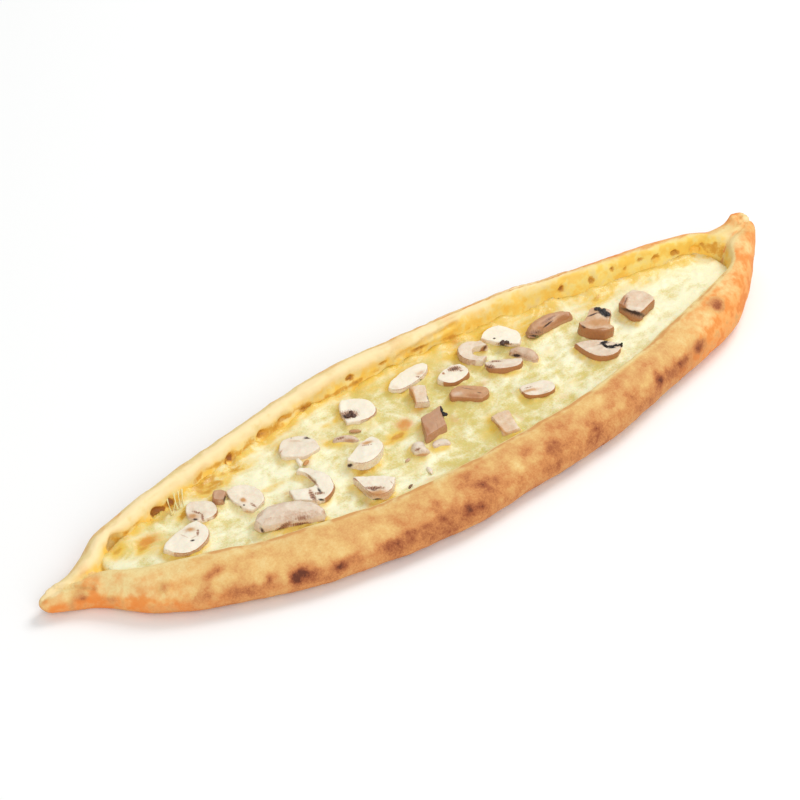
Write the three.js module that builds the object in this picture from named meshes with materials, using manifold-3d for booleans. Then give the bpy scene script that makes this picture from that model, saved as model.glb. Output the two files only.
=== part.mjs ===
// A cheese and mushroom pide: a long open flatbread with its edge rolled up into a rim and pinched
// at both ends, a melted cheese filling, and pieces of mushroom lying on the cheese.
// Millimetres, +Z up. +X runs along the bread, from its slim end to its upturned end.

import Module from 'manifold-3d';
import * as THREE from 'three';
import { mergeVertices } from 'three/addons/utils/BufferGeometryUtils.js';
import { ImprovedNoise } from 'three/addons/math/ImprovedNoise.js';

// The bread at a few places along its length. front and back: how far each side reaches from the
// middle line, hollow: half the width of the trough, frontRim and backRim: heights of the rim's
// crests, swing: how far the middle line lies towards the back, lift: height of the underside.
const STATIONS = [
  { x: -221, front: 5, back: 4, hollow: 0.8, frontRim: 11, backRim: 11, swing: 8, lift: 3 },
  { x: -205, front: 11, back: 9, hollow: 0.8, frontRim: 14, backRim: 15, swing: 7, lift: 0 },
  { x: -195, front: 21, back: 15, hollow: 0.8, frontRim: 17, backRim: 18, swing: 6, lift: 0 },
  { x: -186, front: 31, back: 22, hollow: 9, frontRim: 19, backRim: 20.5, swing: 5, lift: 0 },
  { x: -150, front: 48.5, back: 36, hollow: 21.5, frontRim: 20, backRim: 22, swing: 2, lift: 0 },
  { x: -98, front: 63.5, back: 48.5, hollow: 34, frontRim: 20, backRim: 22.5, swing: 0, lift: 0 },
  { x: -30, front: 71.5, back: 58.5, hollow: 43.5, frontRim: 20.5, backRim: 24, swing: 0, lift: 0 },
  { x: 50, front: 65.5, back: 57, hollow: 42, frontRim: 22.5, backRim: 25, swing: 0, lift: 0 },
  { x: 134, front: 49.5, back: 42, hollow: 27, frontRim: 25, backRim: 28, swing: 0.5, lift: 0 },
  { x: 176, front: 37, back: 33, hollow: 17, frontRim: 26.5, backRim: 29, swing: 1.5, lift: 0 },
  { x: 196, front: 26.5, back: 24.5, hollow: 12.5, frontRim: 28.5, backRim: 29.5, swing: 2.6, lift: 0.3 },
  { x: 204.5, front: 21.3, back: 19.7, hollow: 0.8, frontRim: 30, backRim: 30, swing: 3.5, lift: 0.9 },
  { x: 223, front: 9, back: 9, hollow: 0.8, frontRim: 32, backRim: 35, swing: 7, lift: 5 },
];
const SLIM_END = STATIONS[0].x;
const UPTURNED_END = STATIONS[STATIONS.length - 1].x;

// Crust
const DOUGH_FLOOR = 6;        // dough under the filling
const WALL_LEAN = 3;          // how much narrower the trough is at its floor
const CREST_SHARE = 0.78;     // of the rim's width, from its outer edge to its crest
const UNDERSIDE_SHARE = 0.42; // of the rim's width, rounded off below
const BULGE_SHARE = 0.38;     // of the rim's height, where it is widest
const LIP_SHARE = 0.24;       // of the rim's height, rounded off inside the crest
const CREASE = 1.2;           // depth of the crease where the two rims are pinched together
const LEAN_LIMIT = 0.3;       // of the trough's half width, the most that its walls lean
const SHUT_HOLLOW = 0.8;      // half width at which the trough is pinched shut
const OPEN_HOLLOW = 8;        // half width from which it has its full depth
const END_ROUNDING = [        // how far each end is drawn in, and how far out it bulges there
  { share: 0.86, out: 2 },
  { share: 0.5, out: 4 },
];
const RIM_UNEVEN = 1.3;       // how far the hand-rolled rim wanders
const EDGE_WANDER = { scale: 37, seed: 1.4 };
const CREST_WANDER = { scale: 29, seed: 6.2 };
const SIDES_APART = 3.7;      // keeps the two sides of the rim from wandering alike
const STEADY_REACH = 10;      // where the bread is this slim the rim doesn't wander
const LOOSE_REACH = 40;       // and from this width on it wanders fully
const CRUST_STATIONS = 68;
const END_CROWDING = 0.5;     // how much closer together the stations stand towards the two ends
const UNDERSIDE_JOINT = 0.6;  // of the flat underside, where its section has a point between
const UNDER_STEPS = 3;        // along each curve of the rim's section
const CREST_STEPS = 5;
const LIP_STEPS = 3;

// Cheese
const CHEESE_LEVEL = 13;      // at the middle of the bread
const CHEESE_RISE = 4;        // how much higher it stands at the upturned end
const CHEESE_CLIMB = { from: 40, to: 200 };
const CHEESE_LUMPS = 0.8;     // height of its unevenness
const BROAD_LUMPS = { along: 46, across: 34, seed: 2.5, share: 1 };
const FINE_LUMPS = { along: 24, across: 22, seed: 8.1, share: 0.5 };
const CHEESE_EDGE = 3;        // its thickness where it runs out at the two ends
const CHEESE_OVER = 2;        // how far it reaches into the crust before it is cut to fit
const CHEESE_STATIONS = 54;
const CHEESE_ROWS = 12;       // across its top

// Burst bubbles in the inside of the back rim: where each is, how long, how tall and how deep.
const POCKETS = [
  { x: -178, z: 14, long: 13, tall: 12, deep: 4 },
  { x: -150.5, z: 13.5, long: 9, tall: 6, deep: 4 },
  { x: -142, z: 14, long: 5, tall: 4.5, deep: 3 },
  { x: -101.5, z: 14.5, long: 6, tall: 5, deep: 3.5 },
  { x: -79, z: 15.5, long: 6.5, tall: 4, deep: 3 },
  { x: -64, z: 15.5, long: 9, tall: 3, deep: 3 },
  { x: -19.5, z: 18, long: 6, tall: 3.5, deep: 2.5 },
  { x: 113.5, z: 20.5, long: 5, tall: 5, deep: 3 },
  { x: 129.5, z: 21.5, long: 5, tall: 5, deep: 3 },
  { x: 169.5, z: 22, long: 5.5, tall: 5, deep: 3 },
  { x: 182, z: 22, long: 6, tall: 5, deep: 3 },
  { x: 194, z: 21, long: 7, tall: 6, deep: 3 },
];
const POCKET_ROUND = 10;      // sides of a pocket, round and from end to end
const POCKET_LONG = 6;

// Mushroom pieces, each where its middle lies on the cheese. turn: degrees from +X of the way that a
// cap's dome, or the length of any other piece, points. size: across the dome, along it and thick
// for a piece of cap, or length, width and thickness. belly: share of a slice's length along its dome
// that its cut side bulges. lean: how far a slice's dome leans to its left, with a slim end on its
// right. stem and gills: shares of a whole cap that its stem takes across and where its gills start.
// skew: how far a block's two long sides are shifted against each other.
const MUSHROOMS = [
  { form: 'slice', at: [-152.5, -1], turn: -72, size: [24, 13, 4], belly: 0.22 },
  { form: 'slice', at: [-134.8, 13.6], turn: -20, size: [14, 11.5, 3], belly: 0.3 },
  { form: 'chunk', at: [-124.2, 16.9], turn: 60, size: [8, 6.5, 4.5] },
  { form: 'slice', at: [-112.4, 9.8], turn: 5, size: [20, 12, 3], belly: 0.2 },
  { form: 'bean', at: [-107.4, -16.2], turn: -23, size: [35.5, 14, 9.5] },
  { form: 'slice', at: [-72, 25.5], turn: 72, size: [20, 12.5, 3.5], belly: 0.28 },
  { form: 'curl', at: [-85.6, -2.8], turn: -20, size: [26.5, 22, 4] },
  { form: 'bit', at: [-50, 15.5], turn: -36, size: [14, 5, 3.5] },
  { form: 'slice', at: [-50, -3], turn: -70, size: [22, 11, 6], belly: 0.14 },
  { form: 'slice', at: [-64, -25], turn: -128, size: [20.5, 13, 6], belly: 0.06, lean: 0.7 },
  { form: 'slice', at: [-31, 28.5], turn: -28, size: [18, 16, 3.5], belly: 0.12 },
  { form: 'slice', at: [5.2, 32.6], turn: -78, size: [28, 7.5, 3.5], belly: 0.45 },
  { form: 'stem', at: [-1, 18], turn: 63, size: [14, 8.5, 5] },
  { form: 'block', at: [-9.4, -3.2], turn: 62, size: [15.5, 12, 5.5], skew: 8 },
  { form: 'bit', at: [-25.5, -13], turn: 70, size: [10.5, 7.5, 4.5] },
  { form: 'bit', at: [-15, -16], turn: -25, size: [9.5, 6, 3] },
  { form: 'slice', at: [24, 20], turn: -78, size: [18.5, 9.5, 4], belly: 0.3 },
  { form: 'chunk', at: [20.5, 5], turn: -36, size: [21, 11, 4] },
  { form: 'hook', at: [43.5, 28.5], turn: -35, size: [18, 18.5, 5] },
  { form: 'slice', at: [65, 32], turn: 38, size: [21, 12.5, 3.5], belly: 0.12 },
  { form: 'slice', at: [48.5, 11], turn: -117, size: [20, 7.5, 4.5], belly: 0.1 },
  { form: 'bean', at: [63, 12], turn: -70, size: [17, 8, 5] },
  { form: 'stem', at: [19.5, -24], turn: 74, size: [15.5, 10.5, 3.5] },
  { form: 'slice', at: [49, -15], turn: -112, size: [19, 8.5, 3.5], belly: 0.3 },
  { form: 'bean', at: [88.5, 23], turn: 0, size: [31, 9.5, 6.5] },
  { form: 'whole', at: [107, 5.5], turn: -140, size: [18.5, 20.5, 7.5], stem: 0.68, gills: 0.42 },
  { form: 'slice', at: [92.5, -11], turn: -130, size: [24, 11, 4], belly: 0.3, lean: 0.6 },
  { form: 'chunk', at: [133.5, 4], turn: 24, size: [20.5, 16, 7] },
];
const CURVE_STEPS = 5;        // along each curve of a cut piece's outline
const BEAN_CURVE = 0.3;       // of its width, how far a rounded piece's ends are drawn to one side
const BEAN_TOP = 0.75;        // of its thickness, above its widest level
const BEAN_BLUNT = 3;         // how blunt its ends are: 2 is an ellipse
const BEAN_END = 0.98;        // of its half length, up to where it is made blunter
const BEAN_ROUND = 12;        // sides of a rounded piece, round and from end to end
const BEAN_LONG = 8;
const EDGE_ROUND = 0.9;       // rounded edges of a cut piece
const MUSHROOM_UNEVEN = 0.07; // share of its size that an outline wanders
const UNEVEN_SCALE = 6;
const UNEVEN_SEED = 1.7;
const REST_GAP = 0.5;         // left under a piece lying on the lumpy cheese

const GAP = 0.35;             // left between pieces that touch

const noise = new ImprovedNoise();
const wasm = await Module();
wasm.setup();

// A smooth curve through one column of the stations that never overshoots them.
function alongBread(key) {
  const xs = STATIONS.map((station) => station.x);
  const ys = STATIONS.map((station) => station[key]);
  const slopes = xs.slice(1).map((x, i) => (ys[i + 1] - ys[i]) / (x - xs[i]));
  const tangents = xs.map((_, i) => {
    const before = slopes[i - 1] ?? slopes[i];
    const after = slopes[i] ?? slopes[i - 1];
    return before * after <= 0 ? 0 : (2 * before * after) / (before + after);
  });
  return (x) => {
    const inside = THREE.MathUtils.clamp(x, SLIM_END, UPTURNED_END);
    const i = Math.max(1, xs.findIndex((at) => at >= inside)) - 1;
    const step = xs[i + 1] - xs[i];
    const t = (inside - xs[i]) / step;
    const rise = t * t * (3 - 2 * t);
    return ys[i] * (1 - rise) + ys[i + 1] * rise
      + step * t * (1 - t) * ((1 - t) * tangents[i] - t * tangents[i + 1]);
  };
}

const reach = { front: alongBread('front'), back: alongBread('back') };
const hollow = alongBread('hollow');
const crest = { front: alongBread('frontRim'), back: alongBread('backRim') };
const swing = alongBread('swing');
const lift = alongBread('lift');

// How far the hand-rolled rim strays at a place, fading out towards the pinched ends.
function stray(x, side, { scale, seed }) {
  const fade = THREE.MathUtils.smoothstep(reach.front(x), STEADY_REACH, LOOSE_REACH);
  return RIM_UNEVEN * fade * noise.noise(x / scale, side * SIDES_APART, seed);
}

function outerEdge(x, side) {
  return (side < 0 ? reach.front(x) : reach.back(x)) + stray(x, side, EDGE_WANDER);
}

function rimTop(x, side) {
  return (side < 0 ? crest.front(x) : crest.back(x)) + stray(x, side, CREST_WANDER);
}

function wallTop(x, side) {
  const top = rimTop(x, side);
  return top - LIP_SHARE * (top - lift(x));
}

// The trough's floor, which climbs to a shallow crease where the bread is pinched shut.
function floorHeight(x, side) {
  const open = THREE.MathUtils.smoothstep(hollow(x), SHUT_HOLLOW, OPEN_HOLLOW);
  return THREE.MathUtils.lerp(wallTop(x, side) - CREASE, DOUGH_FLOOR, open);
}

function floorHalf(x) {
  return hollow(x) - Math.min(WALL_LEAN, LEAN_LIMIT * hollow(x));
}

// Half of the bread's cross-section, as distances from its middle line and heights, from the middle
// of the underside round the rim to the middle of the trough's floor. The trough can be lined.
function crustHalfSection(x, side, lining) {
  const edge = outerEdge(x, side);
  const top = rimTop(x, side);
  const under = lift(x);
  const width = edge - hollow(x) + lining;
  const bulge = under + BULGE_SHARE * (top - under);
  const tuck = UNDERSIDE_SHARE * width;
  const shoulder = CREST_SHARE * width;
  const lip = width - shoulder;
  const drop = top - wallTop(x, side);
  const floor = floorHeight(x, side) + lining;
  const points = [[0, under], [UNDERSIDE_JOINT * (edge - tuck), under]];
  for (let i = 0; i <= UNDER_STEPS; i += 1) {
    const turn = (i / UNDER_STEPS) * Math.PI / 2;
    points.push([edge - tuck + tuck * Math.sin(turn), bulge - (bulge - under) * Math.cos(turn)]);
  }
  for (let i = 1; i <= CREST_STEPS; i += 1) {
    const turn = (i / CREST_STEPS) * Math.PI / 2;
    points.push([edge - shoulder + shoulder * Math.cos(turn), bulge + (top - bulge) * Math.sin(turn)]);
  }
  for (let i = 1; i <= LIP_STEPS; i += 1) {
    const turn = (i / LIP_STEPS) * Math.PI / 2;
    points.push([edge - shoulder - lip * Math.sin(turn), top - drop * (1 - Math.cos(turn))]);
  }
  points.push([floorHalf(x) - lining, floor]);
  points.push([0.5 * (floorHalf(x) - lining), floor]);
  points.push([0, floor]);
  return points;
}

// A closed ring across the bread at x, out along the front half and back along the other half.
function acrossBread(x, halfSection) {
  const front = halfSection(x, -1).map(([out, z]) => new THREE.Vector3(x, swing(x) - out, z));
  const back = halfSection(x, 1).map(([out, z]) => new THREE.Vector3(x, swing(x) + out, z));
  return [...front, ...back.reverse().slice(1, -1)];
}

// Places along a stretch, closer together towards its two ends.
function places(from, to, count) {
  return Array.from({ length: count }, (_, i) => {
    const t = i / (count - 1);
    const eased = 0.5 - 0.5 * Math.cos(Math.PI * t);
    return THREE.MathUtils.lerp(from, to, THREE.MathUtils.lerp(t, eased, END_CROWDING));
  });
}

// A closed skin over rings of equally many points, its two ends closed to the middle of their ring.
function skin(rings) {
  const count = rings[0].length;
  const positions = rings.flat().flatMap((point) => point.toArray());
  const faces = [];
  for (let r = 0; r < rings.length - 1; r += 1) {
    for (let i = 0; i < count; i += 1) {
      const a = r * count + i;
      const b = r * count + ((i + 1) % count);
      faces.push(a, a + count, b, b, a + count, b + count);
    }
  }
  for (const r of [0, rings.length - 1]) {
    const middle = new THREE.Vector3();
    rings[r].forEach((point) => middle.addScaledVector(point, 1 / count));
    const hub = positions.length / 3;
    positions.push(...middle.toArray());
    for (let i = 0; i < count; i += 1) {
      const a = r * count + i;
      const b = r * count + ((i + 1) % count);
      faces.push(...(r === 0 ? [hub, a, b] : [hub, b, a]));
    }
  }
  const geometry = new THREE.BufferGeometry();
  geometry.setAttribute('position', new THREE.Float32BufferAttribute(positions, 3));
  geometry.setIndex(faces);
  geometry.computeVertexNormals();
  return geometry;
}

// A closed geometry as a solid that can be cut, and back.
function solidOf(geometry) {
  const bare = geometry.clone();
  bare.deleteAttribute('normal');
  bare.deleteAttribute('uv');
  const merged = mergeVertices(bare);
  return new wasm.Manifold(new wasm.Mesh({
    numProp: 3,
    vertProperties: new Float32Array(merged.attributes.position.array),
    triVerts: new Uint32Array(merged.index.array),
  }));
}

function geometryOf(solid) {
  const mesh = solid.getMesh();
  const geometry = new THREE.BufferGeometry();
  geometry.setAttribute('position', new THREE.Float32BufferAttribute(mesh.vertProperties, mesh.numProp));
  geometry.setIndex([...mesh.triVerts]);
  geometry.computeVertexNormals();
  return geometry;
}

// The ring at one end of the bread drawn in towards its middle, to round the end off.
function roundedEnd(ring, outwards) {
  const middle = new THREE.Vector3();
  ring.forEach((point) => middle.addScaledVector(point, 1 / ring.length));
  return END_ROUNDING.map(({ share, out }) => ring.map((point) => {
    const drawn = middle.clone().lerp(point, share);
    drawn.x += outwards * out;
    return drawn;
  }));
}

function bread(lining) {
  const rings = places(SLIM_END, UPTURNED_END, CRUST_STATIONS)
    .map((x) => acrossBread(x, (at, side) => crustHalfSection(at, side, lining)));
  const slim = roundedEnd(rings[0], -1).reverse();
  const upturned = roundedEnd(rings[rings.length - 1], 1);
  return skin([...slim, ...rings, ...upturned]);
}

// How far the trough's wall stands from its middle line at a height.
function wallReach(x, side, z) {
  const foot = floorHeight(x, side);
  const share = THREE.MathUtils.clamp((z - foot) / (wallTop(x, side) - foot), 0, 1);
  return THREE.MathUtils.lerp(floorHalf(x), hollow(x), share);
}

function crustWithPockets() {
  const pockets = POCKETS.map(({ x, z, long, tall, deep }) => {
    const bubble = new THREE.SphereGeometry(1, POCKET_ROUND, POCKET_LONG);
    bubble.scale(long / 2, deep, tall / 2);
    bubble.translate(x, swing(x) + wallReach(x, 1, z), z);
    return solidOf(bubble);
  });
  return geometryOf(pockets.reduce((left, pocket) => left.subtract(pocket), solidOf(bread(0))));
}

function lumps(x, y, { along, across, seed, share }) {
  return CHEESE_LUMPS * share * noise.noise(x / along, y / across, seed);
}

// Height of the cheese at a place.
function cheeseTop(x, y) {
  const rise = CHEESE_RISE * THREE.MathUtils.smoothstep(x, CHEESE_CLIMB.from, CHEESE_CLIMB.to);
  return CHEESE_LEVEL + rise + lumps(x, y, BROAD_LUMPS) + lumps(x, y, FINE_LUMPS);
}

// The cheese before it is fitted to the trough: it reaches into the walls and the floor.
function cheeseHalfSection(x, side) {
  const edge = hollow(x) + CHEESE_OVER;
  const points = [[0, DOUGH_FLOOR - CHEESE_OVER], [edge, DOUGH_FLOOR - CHEESE_OVER]];
  for (let i = 0; i <= CHEESE_ROWS / 2; i += 1) {
    const out = edge * (1 - i / (CHEESE_ROWS / 2));
    points.push([out, cheeseTop(x, swing(x) + side * out)]);
  }
  return points;
}

function cheeseFilling() {
  const inTrough = places(SLIM_END, UPTURNED_END, CHEESE_STATIONS)
    .filter((x) => hollow(x) > CHEESE_OVER)
    .filter((x) => [-1, 1].every((side) => floorHeight(x, side) < cheeseTop(x, swing(x)) - CHEESE_EDGE));
  const block = skin(inTrough.map((x) => acrossBread(x, cheeseHalfSection)));
  return geometryOf(solidOf(block).subtract(solidOf(bread(GAP))));
}

// Outlines of cut mushroom pieces, in the plane of the cut. A cap's dome points along +X.

// Half a cap: a round dome, and a cut side that bulges where the gills and the stem are.
function sliceOutline([across, along], { belly, lean = 0 }) {
  const side = across / 2;
  const far = along / 2;
  const cut = far + belly * along;
  const peak = 0.15 * lean * side;
  const slim = { x: (0.6 - 1.2 * lean) * far, y: (0.6 * lean - 1.05) * side };
  const outline = new THREE.Shape();
  outline.moveTo(-far, -side);
  outline.bezierCurveTo(slim.x, slim.y, far, (0.5 * lean - 0.6) * side, far, peak);
  outline.bezierCurveTo(far, 0.6 * side, 0.6 * far, 1.05 * side, -far, side);
  outline.quadraticCurveTo(-cut, 0.65 * side, -cut, 0);
  outline.quadraticCurveTo(-cut, -0.65 * side, -far, -side);
  return outline;
}

// A whole cap cut through the middle, with its stem pointing away from the dome.
function wholeOutline([across, along], { stem, gills }) {
  const side = across / 2;
  const far = along / 2;
  const half = stem * side;
  const from = gills * far;
  const outline = new THREE.Shape();
  outline.moveTo(from, -side);
  outline.bezierCurveTo(from + 0.6 * (far - from), -side, far, -0.55 * side, far, 0);
  outline.bezierCurveTo(far, 0.55 * side, from + 0.6 * (far - from), side, from, side);
  outline.lineTo(from - 0.15 * far, half);
  outline.lineTo(-0.6 * far, 0.95 * half);
  outline.quadraticCurveTo(-far, 0.9 * half, -far, 0.2 * half);
  outline.quadraticCurveTo(-far, -0.8 * half, -0.75 * far, -0.9 * half);
  outline.lineTo(from - 0.15 * far, -half);
  return outline;
}

// A cap cut beside its middle: a curled crescent with a broken stem on one side of its hollow.
function curlOutline([across, along]) {
  const side = across / 2;
  const far = along / 2;
  const outline = new THREE.Shape();
  outline.moveTo(-0.1 * far, side);
  outline.bezierCurveTo(0.6 * far, 0.85 * side, far, 0.3 * side, far, -0.3 * side);
  outline.bezierCurveTo(far, -0.65 * side, 0.6 * far, -0.98 * side, 0.1 * far, -side);
  outline.lineTo(-0.92 * far, -0.74 * side);
  outline.lineTo(-far, -0.12 * side);
  outline.lineTo(-0.15 * far, -0.24 * side);
  outline.quadraticCurveTo(0.5 * far, -0.15 * side, 0.2 * far, 0.3 * side);
  outline.quadraticCurveTo(0.08 * far, 0.65 * side, -0.3 * far, 0.86 * side);
  return outline;
}

// A cap cut across beside its stem, curled round the gap that the stem left on its +X side.
function hookOutline([across, along]) {
  const side = across / 2;
  const far = along / 2;
  const gap = -0.12 * far;
  const outline = new THREE.Shape();
  outline.moveTo(0.4 * far, side);
  outline.bezierCurveTo(-0.35 * far, 1.05 * side, -far, 0.6 * side, -far, 0);
  outline.bezierCurveTo(-far, -0.6 * side, -0.35 * far, -1.05 * side, 0.35 * far, -side);
  outline.lineTo(0.7 * far, -0.5 * side);
  outline.bezierCurveTo(0.1 * far, -0.55 * side, gap, -0.3 * side, gap, 0);
  outline.bezierCurveTo(gap, 0.3 * side, 0.1 * far, 0.5 * side, 0.75 * far, 0.45 * side);
  return outline;
}

// A chopped lump with one rounded end.
function chunkOutline([length, width]) {
  const far = length / 2;
  const side = width / 2;
  const outline = new THREE.Shape();
  outline.moveTo(-0.92 * far, -0.72 * side);
  outline.lineTo(0.55 * far, -side);
  outline.quadraticCurveTo(1.12 * far, -0.35 * side, 0.82 * far, 0.72 * side);
  outline.quadraticCurveTo(0.45 * far, 1.02 * side, -0.6 * far, side);
  outline.quadraticCurveTo(-1.08 * far, 0.3 * side, -0.92 * far, -0.72 * side);
  return outline;
}

// A straight-cut block.
function blockOutline([length, width], { skew }) {
  const far = length / 2;
  const side = width / 2;
  const outline = new THREE.Shape();
  outline.moveTo(-far + skew / 2, -side);
  outline.lineTo(far + skew / 2, -side);
  outline.lineTo(far - skew / 2, side);
  outline.lineTo(-far - skew / 2, side);
  outline.closePath();
  return outline;
}

// A length of stem, drawn in a little at its middle.
function stemOutline([length, width]) {
  const far = length / 2;
  const side = width / 2;
  const outline = new THREE.Shape();
  outline.moveTo(-far, -0.9 * side);
  outline.quadraticCurveTo(0, -0.75 * side, far, -side);
  outline.quadraticCurveTo(1.08 * far, 0, 0.86 * far, side);
  outline.quadraticCurveTo(0, 0.8 * side, -0.94 * far, side);
  outline.quadraticCurveTo(-1.06 * far, 0, -far, -0.9 * side);
  return outline;
}

const OUTLINES = {
  slice: sliceOutline,
  whole: wholeOutline,
  curl: curlOutline,
  hook: hookOutline,
  chunk: chunkOutline,
  block: blockOutline,
  stem: stemOutline,
};

// A flat cut piece with rounded edges, lying on its cut face.
function cutPiece({ form, size, ...shape }) {
  const geometry = new THREE.ExtrudeGeometry(OUTLINES[form](size, shape), {
    depth: size[2] - 2 * EDGE_ROUND,
    curveSegments: CURVE_STEPS,
    bevelThickness: EDGE_ROUND,
    bevelSize: EDGE_ROUND,
    bevelOffset: -EDGE_ROUND,
    bevelSegments: 1,
  });
  return geometry.translate(0, 0, EDGE_ROUND);
}

// A rounded piece, flatter below, with both ends drawn towards -Y.
function roundPiece({ size: [length, width, thick] }) {
  const geometry = new THREE.SphereGeometry(0.5, BEAN_ROUND, BEAN_LONG).rotateX(Math.PI / 2);
  const place = geometry.attributes.position;
  for (let i = 0; i < place.count; i += 1) {
    const along = place.getX(i);
    const up = place.getZ(i);
    const drawn = BEAN_CURVE * width * (4 * along * along - 0.5);
    const out = Math.min(Math.abs(2 * along), BEAN_END);
    const fuller = (1 - out ** BEAN_BLUNT) ** (1 / BEAN_BLUNT) / Math.sqrt(1 - out * out);
    const share = up > 0 ? BEAN_TOP : 1 - BEAN_TOP;
    const across = width * fuller * place.getY(i) - drawn;
    place.setXYZ(i, length * along, across, thick * 2 * share * fuller * up);
  }
  return geometry;
}

// Make a piece as uneven as a hand-chopped one.
function unevenly(geometry, seed) {
  const place = geometry.attributes.position;
  for (let i = 0; i < place.count; i += 1) {
    const x = place.getX(i);
    const y = place.getY(i);
    const wander = noise.noise(x / UNEVEN_SCALE + seed, y / UNEVEN_SCALE, UNEVEN_SEED * seed);
    const swell = 1 + MUSHROOM_UNEVEN * wander;
    place.setXY(i, x * swell, y * swell);
  }
  return geometry;
}

// Lower a piece until it lies just clear of the cheese.
function layOnCheese(geometry) {
  const solid = geometry.index ? geometry.toNonIndexed() : geometry;
  const place = solid.attributes.position;
  const corners = [0, 1, 2].map(() => new THREE.Vector3());
  let clear = Infinity;
  for (let i = 0; i < place.count; i += 3) {
    corners.forEach((corner, k) => corner.fromBufferAttribute(place, i + k));
    const middle = corners[0].clone().add(corners[1]).add(corners[2]).divideScalar(3);
    for (const point of [...corners, middle]) {
      clear = Math.min(clear, point.z - cheeseTop(point.x, point.y));
    }
  }
  return geometry.translate(0, 0, REST_GAP - clear);
}

function mushroom(shape, index) {
  const { form, at, turn } = shape;
  const geometry = unevenly(form in OUTLINES ? cutPiece(shape) : roundPiece(shape), index + 1);
  geometry.rotateZ(THREE.MathUtils.degToRad(turn));
  geometry.translate(at[0] - shift.x, at[1] - shift.y, 0);
  layOnCheese(geometry);
  return piece(`mushroom_${form}_${String(index + 1).padStart(2, '0')}`, geometry, 'mushroom');
}

const FINISHES = {
  crust: new THREE.MeshStandardMaterial({ color: 0xe2ae6c, roughness: 0.75 }),
  cheese: new THREE.MeshStandardMaterial({ color: 0xf0e2a8, roughness: 0.4 }),
  mushroom: new THREE.MeshStandardMaterial({ color: 0xe6cfb0, roughness: 0.55 }),
};

function piece(name, geometry, finish) {
  const mesh = new THREE.Mesh(geometry, FINISHES[finish]);
  mesh.name = name;
  return mesh;
}

// The frame's origin is the middle of the underside of the bread.
const crust = piece('crust', crustWithPockets(), 'crust');
const box = new THREE.Box3().setFromObject(crust);
const shift = box.getCenter(new THREE.Vector3()).multiplyScalar(-1);

const pide = new THREE.Group();
pide.add(crust, piece('cheese_filling', cheeseFilling(), 'cheese'), ...MUSHROOMS.map(mushroom));
pide.position.set(shift.x, shift.y, 0);

export default pide;
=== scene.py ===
"""A cheese and mushroom pide: a baked crust, melted cheese, mushroom pieces and what lies on them."""

import math
import random

import bpy
import numpy as np
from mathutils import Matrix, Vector, kdtree, noise


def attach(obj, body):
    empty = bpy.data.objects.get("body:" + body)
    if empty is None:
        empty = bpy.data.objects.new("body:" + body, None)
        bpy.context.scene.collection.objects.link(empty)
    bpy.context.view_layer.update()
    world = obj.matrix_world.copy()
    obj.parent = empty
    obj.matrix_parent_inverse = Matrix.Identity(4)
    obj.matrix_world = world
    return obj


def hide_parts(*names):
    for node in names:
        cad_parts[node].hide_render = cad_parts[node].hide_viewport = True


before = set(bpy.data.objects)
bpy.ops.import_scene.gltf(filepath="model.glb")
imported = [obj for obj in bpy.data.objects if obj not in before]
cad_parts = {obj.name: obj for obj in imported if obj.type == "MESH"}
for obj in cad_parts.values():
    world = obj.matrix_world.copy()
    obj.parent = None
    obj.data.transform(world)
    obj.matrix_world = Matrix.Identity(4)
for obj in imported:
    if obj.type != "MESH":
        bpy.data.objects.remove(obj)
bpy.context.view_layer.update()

MM = 0.001

# The camera in the part's frame: angles in degrees, lengths in metres, and its lens in millimetres.
CAMERA_AZIMUTH = -38.58
CAMERA_ELEVATION = 38
CAMERA_DISTANCE = 1.2
CAMERA_TARGET = (0.0026, 0.0387, 0)
CAMERA_LENS = 105.75

# The studio: each light's place in metres, its size and its power, then the sky and the floor.
KEY_LIGHT = ((1.25, 0.25, 1.6), 0.9, 18)
FRONT_LIGHT = ((-0.7, -1.5, 1.2), 1.5, 16)
SKY_STRENGTH = 0.56
FLOOR_SIZE = 8
FLOOR_COLOUR = (0.98, 0.985, 0.98, 1)

# The middle line of the trough: places along the bread and how far back it lies there, in mm.
MIDDLE_LINE = (
    (-222, 14.6), (-187, 11.6), (-151, 8.6), (-99, 6.6), (133, 7.1), (175, 8.1), (200, 9.6), (222, 13.6),
)

# Burst bubbles in the inside of the back rim: place along the bread, height, length and height in mm,
# and how dark the painted shade inside them is.
POCKETS = (
    (-179, 14, 13, 12, 0.2), (-151.5, 12.8, 10, 6, 0.95), (-143, 13.4, 6, 4.5, 0.85),
    (-102.5, 14.5, 6, 5, 0.85), (-80, 15.5, 6.5, 4, 0.65), (-65, 15.5, 9, 3, 0.55),
    (-20.5, 18, 6, 3.5, 0.75), (112.5, 20.5, 5, 5, 0.7), (128.5, 21.5, 5, 5, 0.66),
    (168.5, 23.2, 5.5, 6.4, 0.64), (181.6, 22, 6.6, 5, 0.6), (200, 22, 11, 9, 0.42),
)
# Smaller pits there that only dent the wall, darkened with painted shade: place along the bread, height,
# length and height in mm.
PITS = (
    (-50, 14.5, 7, 1.6), (0, 18.5, 5, 2.2), (23, 17.5, 12, 1.6), (142, 24.2, 3, 2.2),
    (159.5, 24.6, 3.4, 2.4), (150, 22, 2.4, 2), (196, 24, 2.4, 2),
)
PIT_DEPTH = 1.4

# How high the cheese stands: at the slim end, how much more at the upturned end, and where it climbs.
CHEESE_LEVEL = 13
CHEESE_RISE = 4
CHEESE_CLIMB = (40, 200)
# How far above the cheese the painted shade of a crevice runs along the far wall.
CREVICE_SHADE_RISE = 2.2

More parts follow.
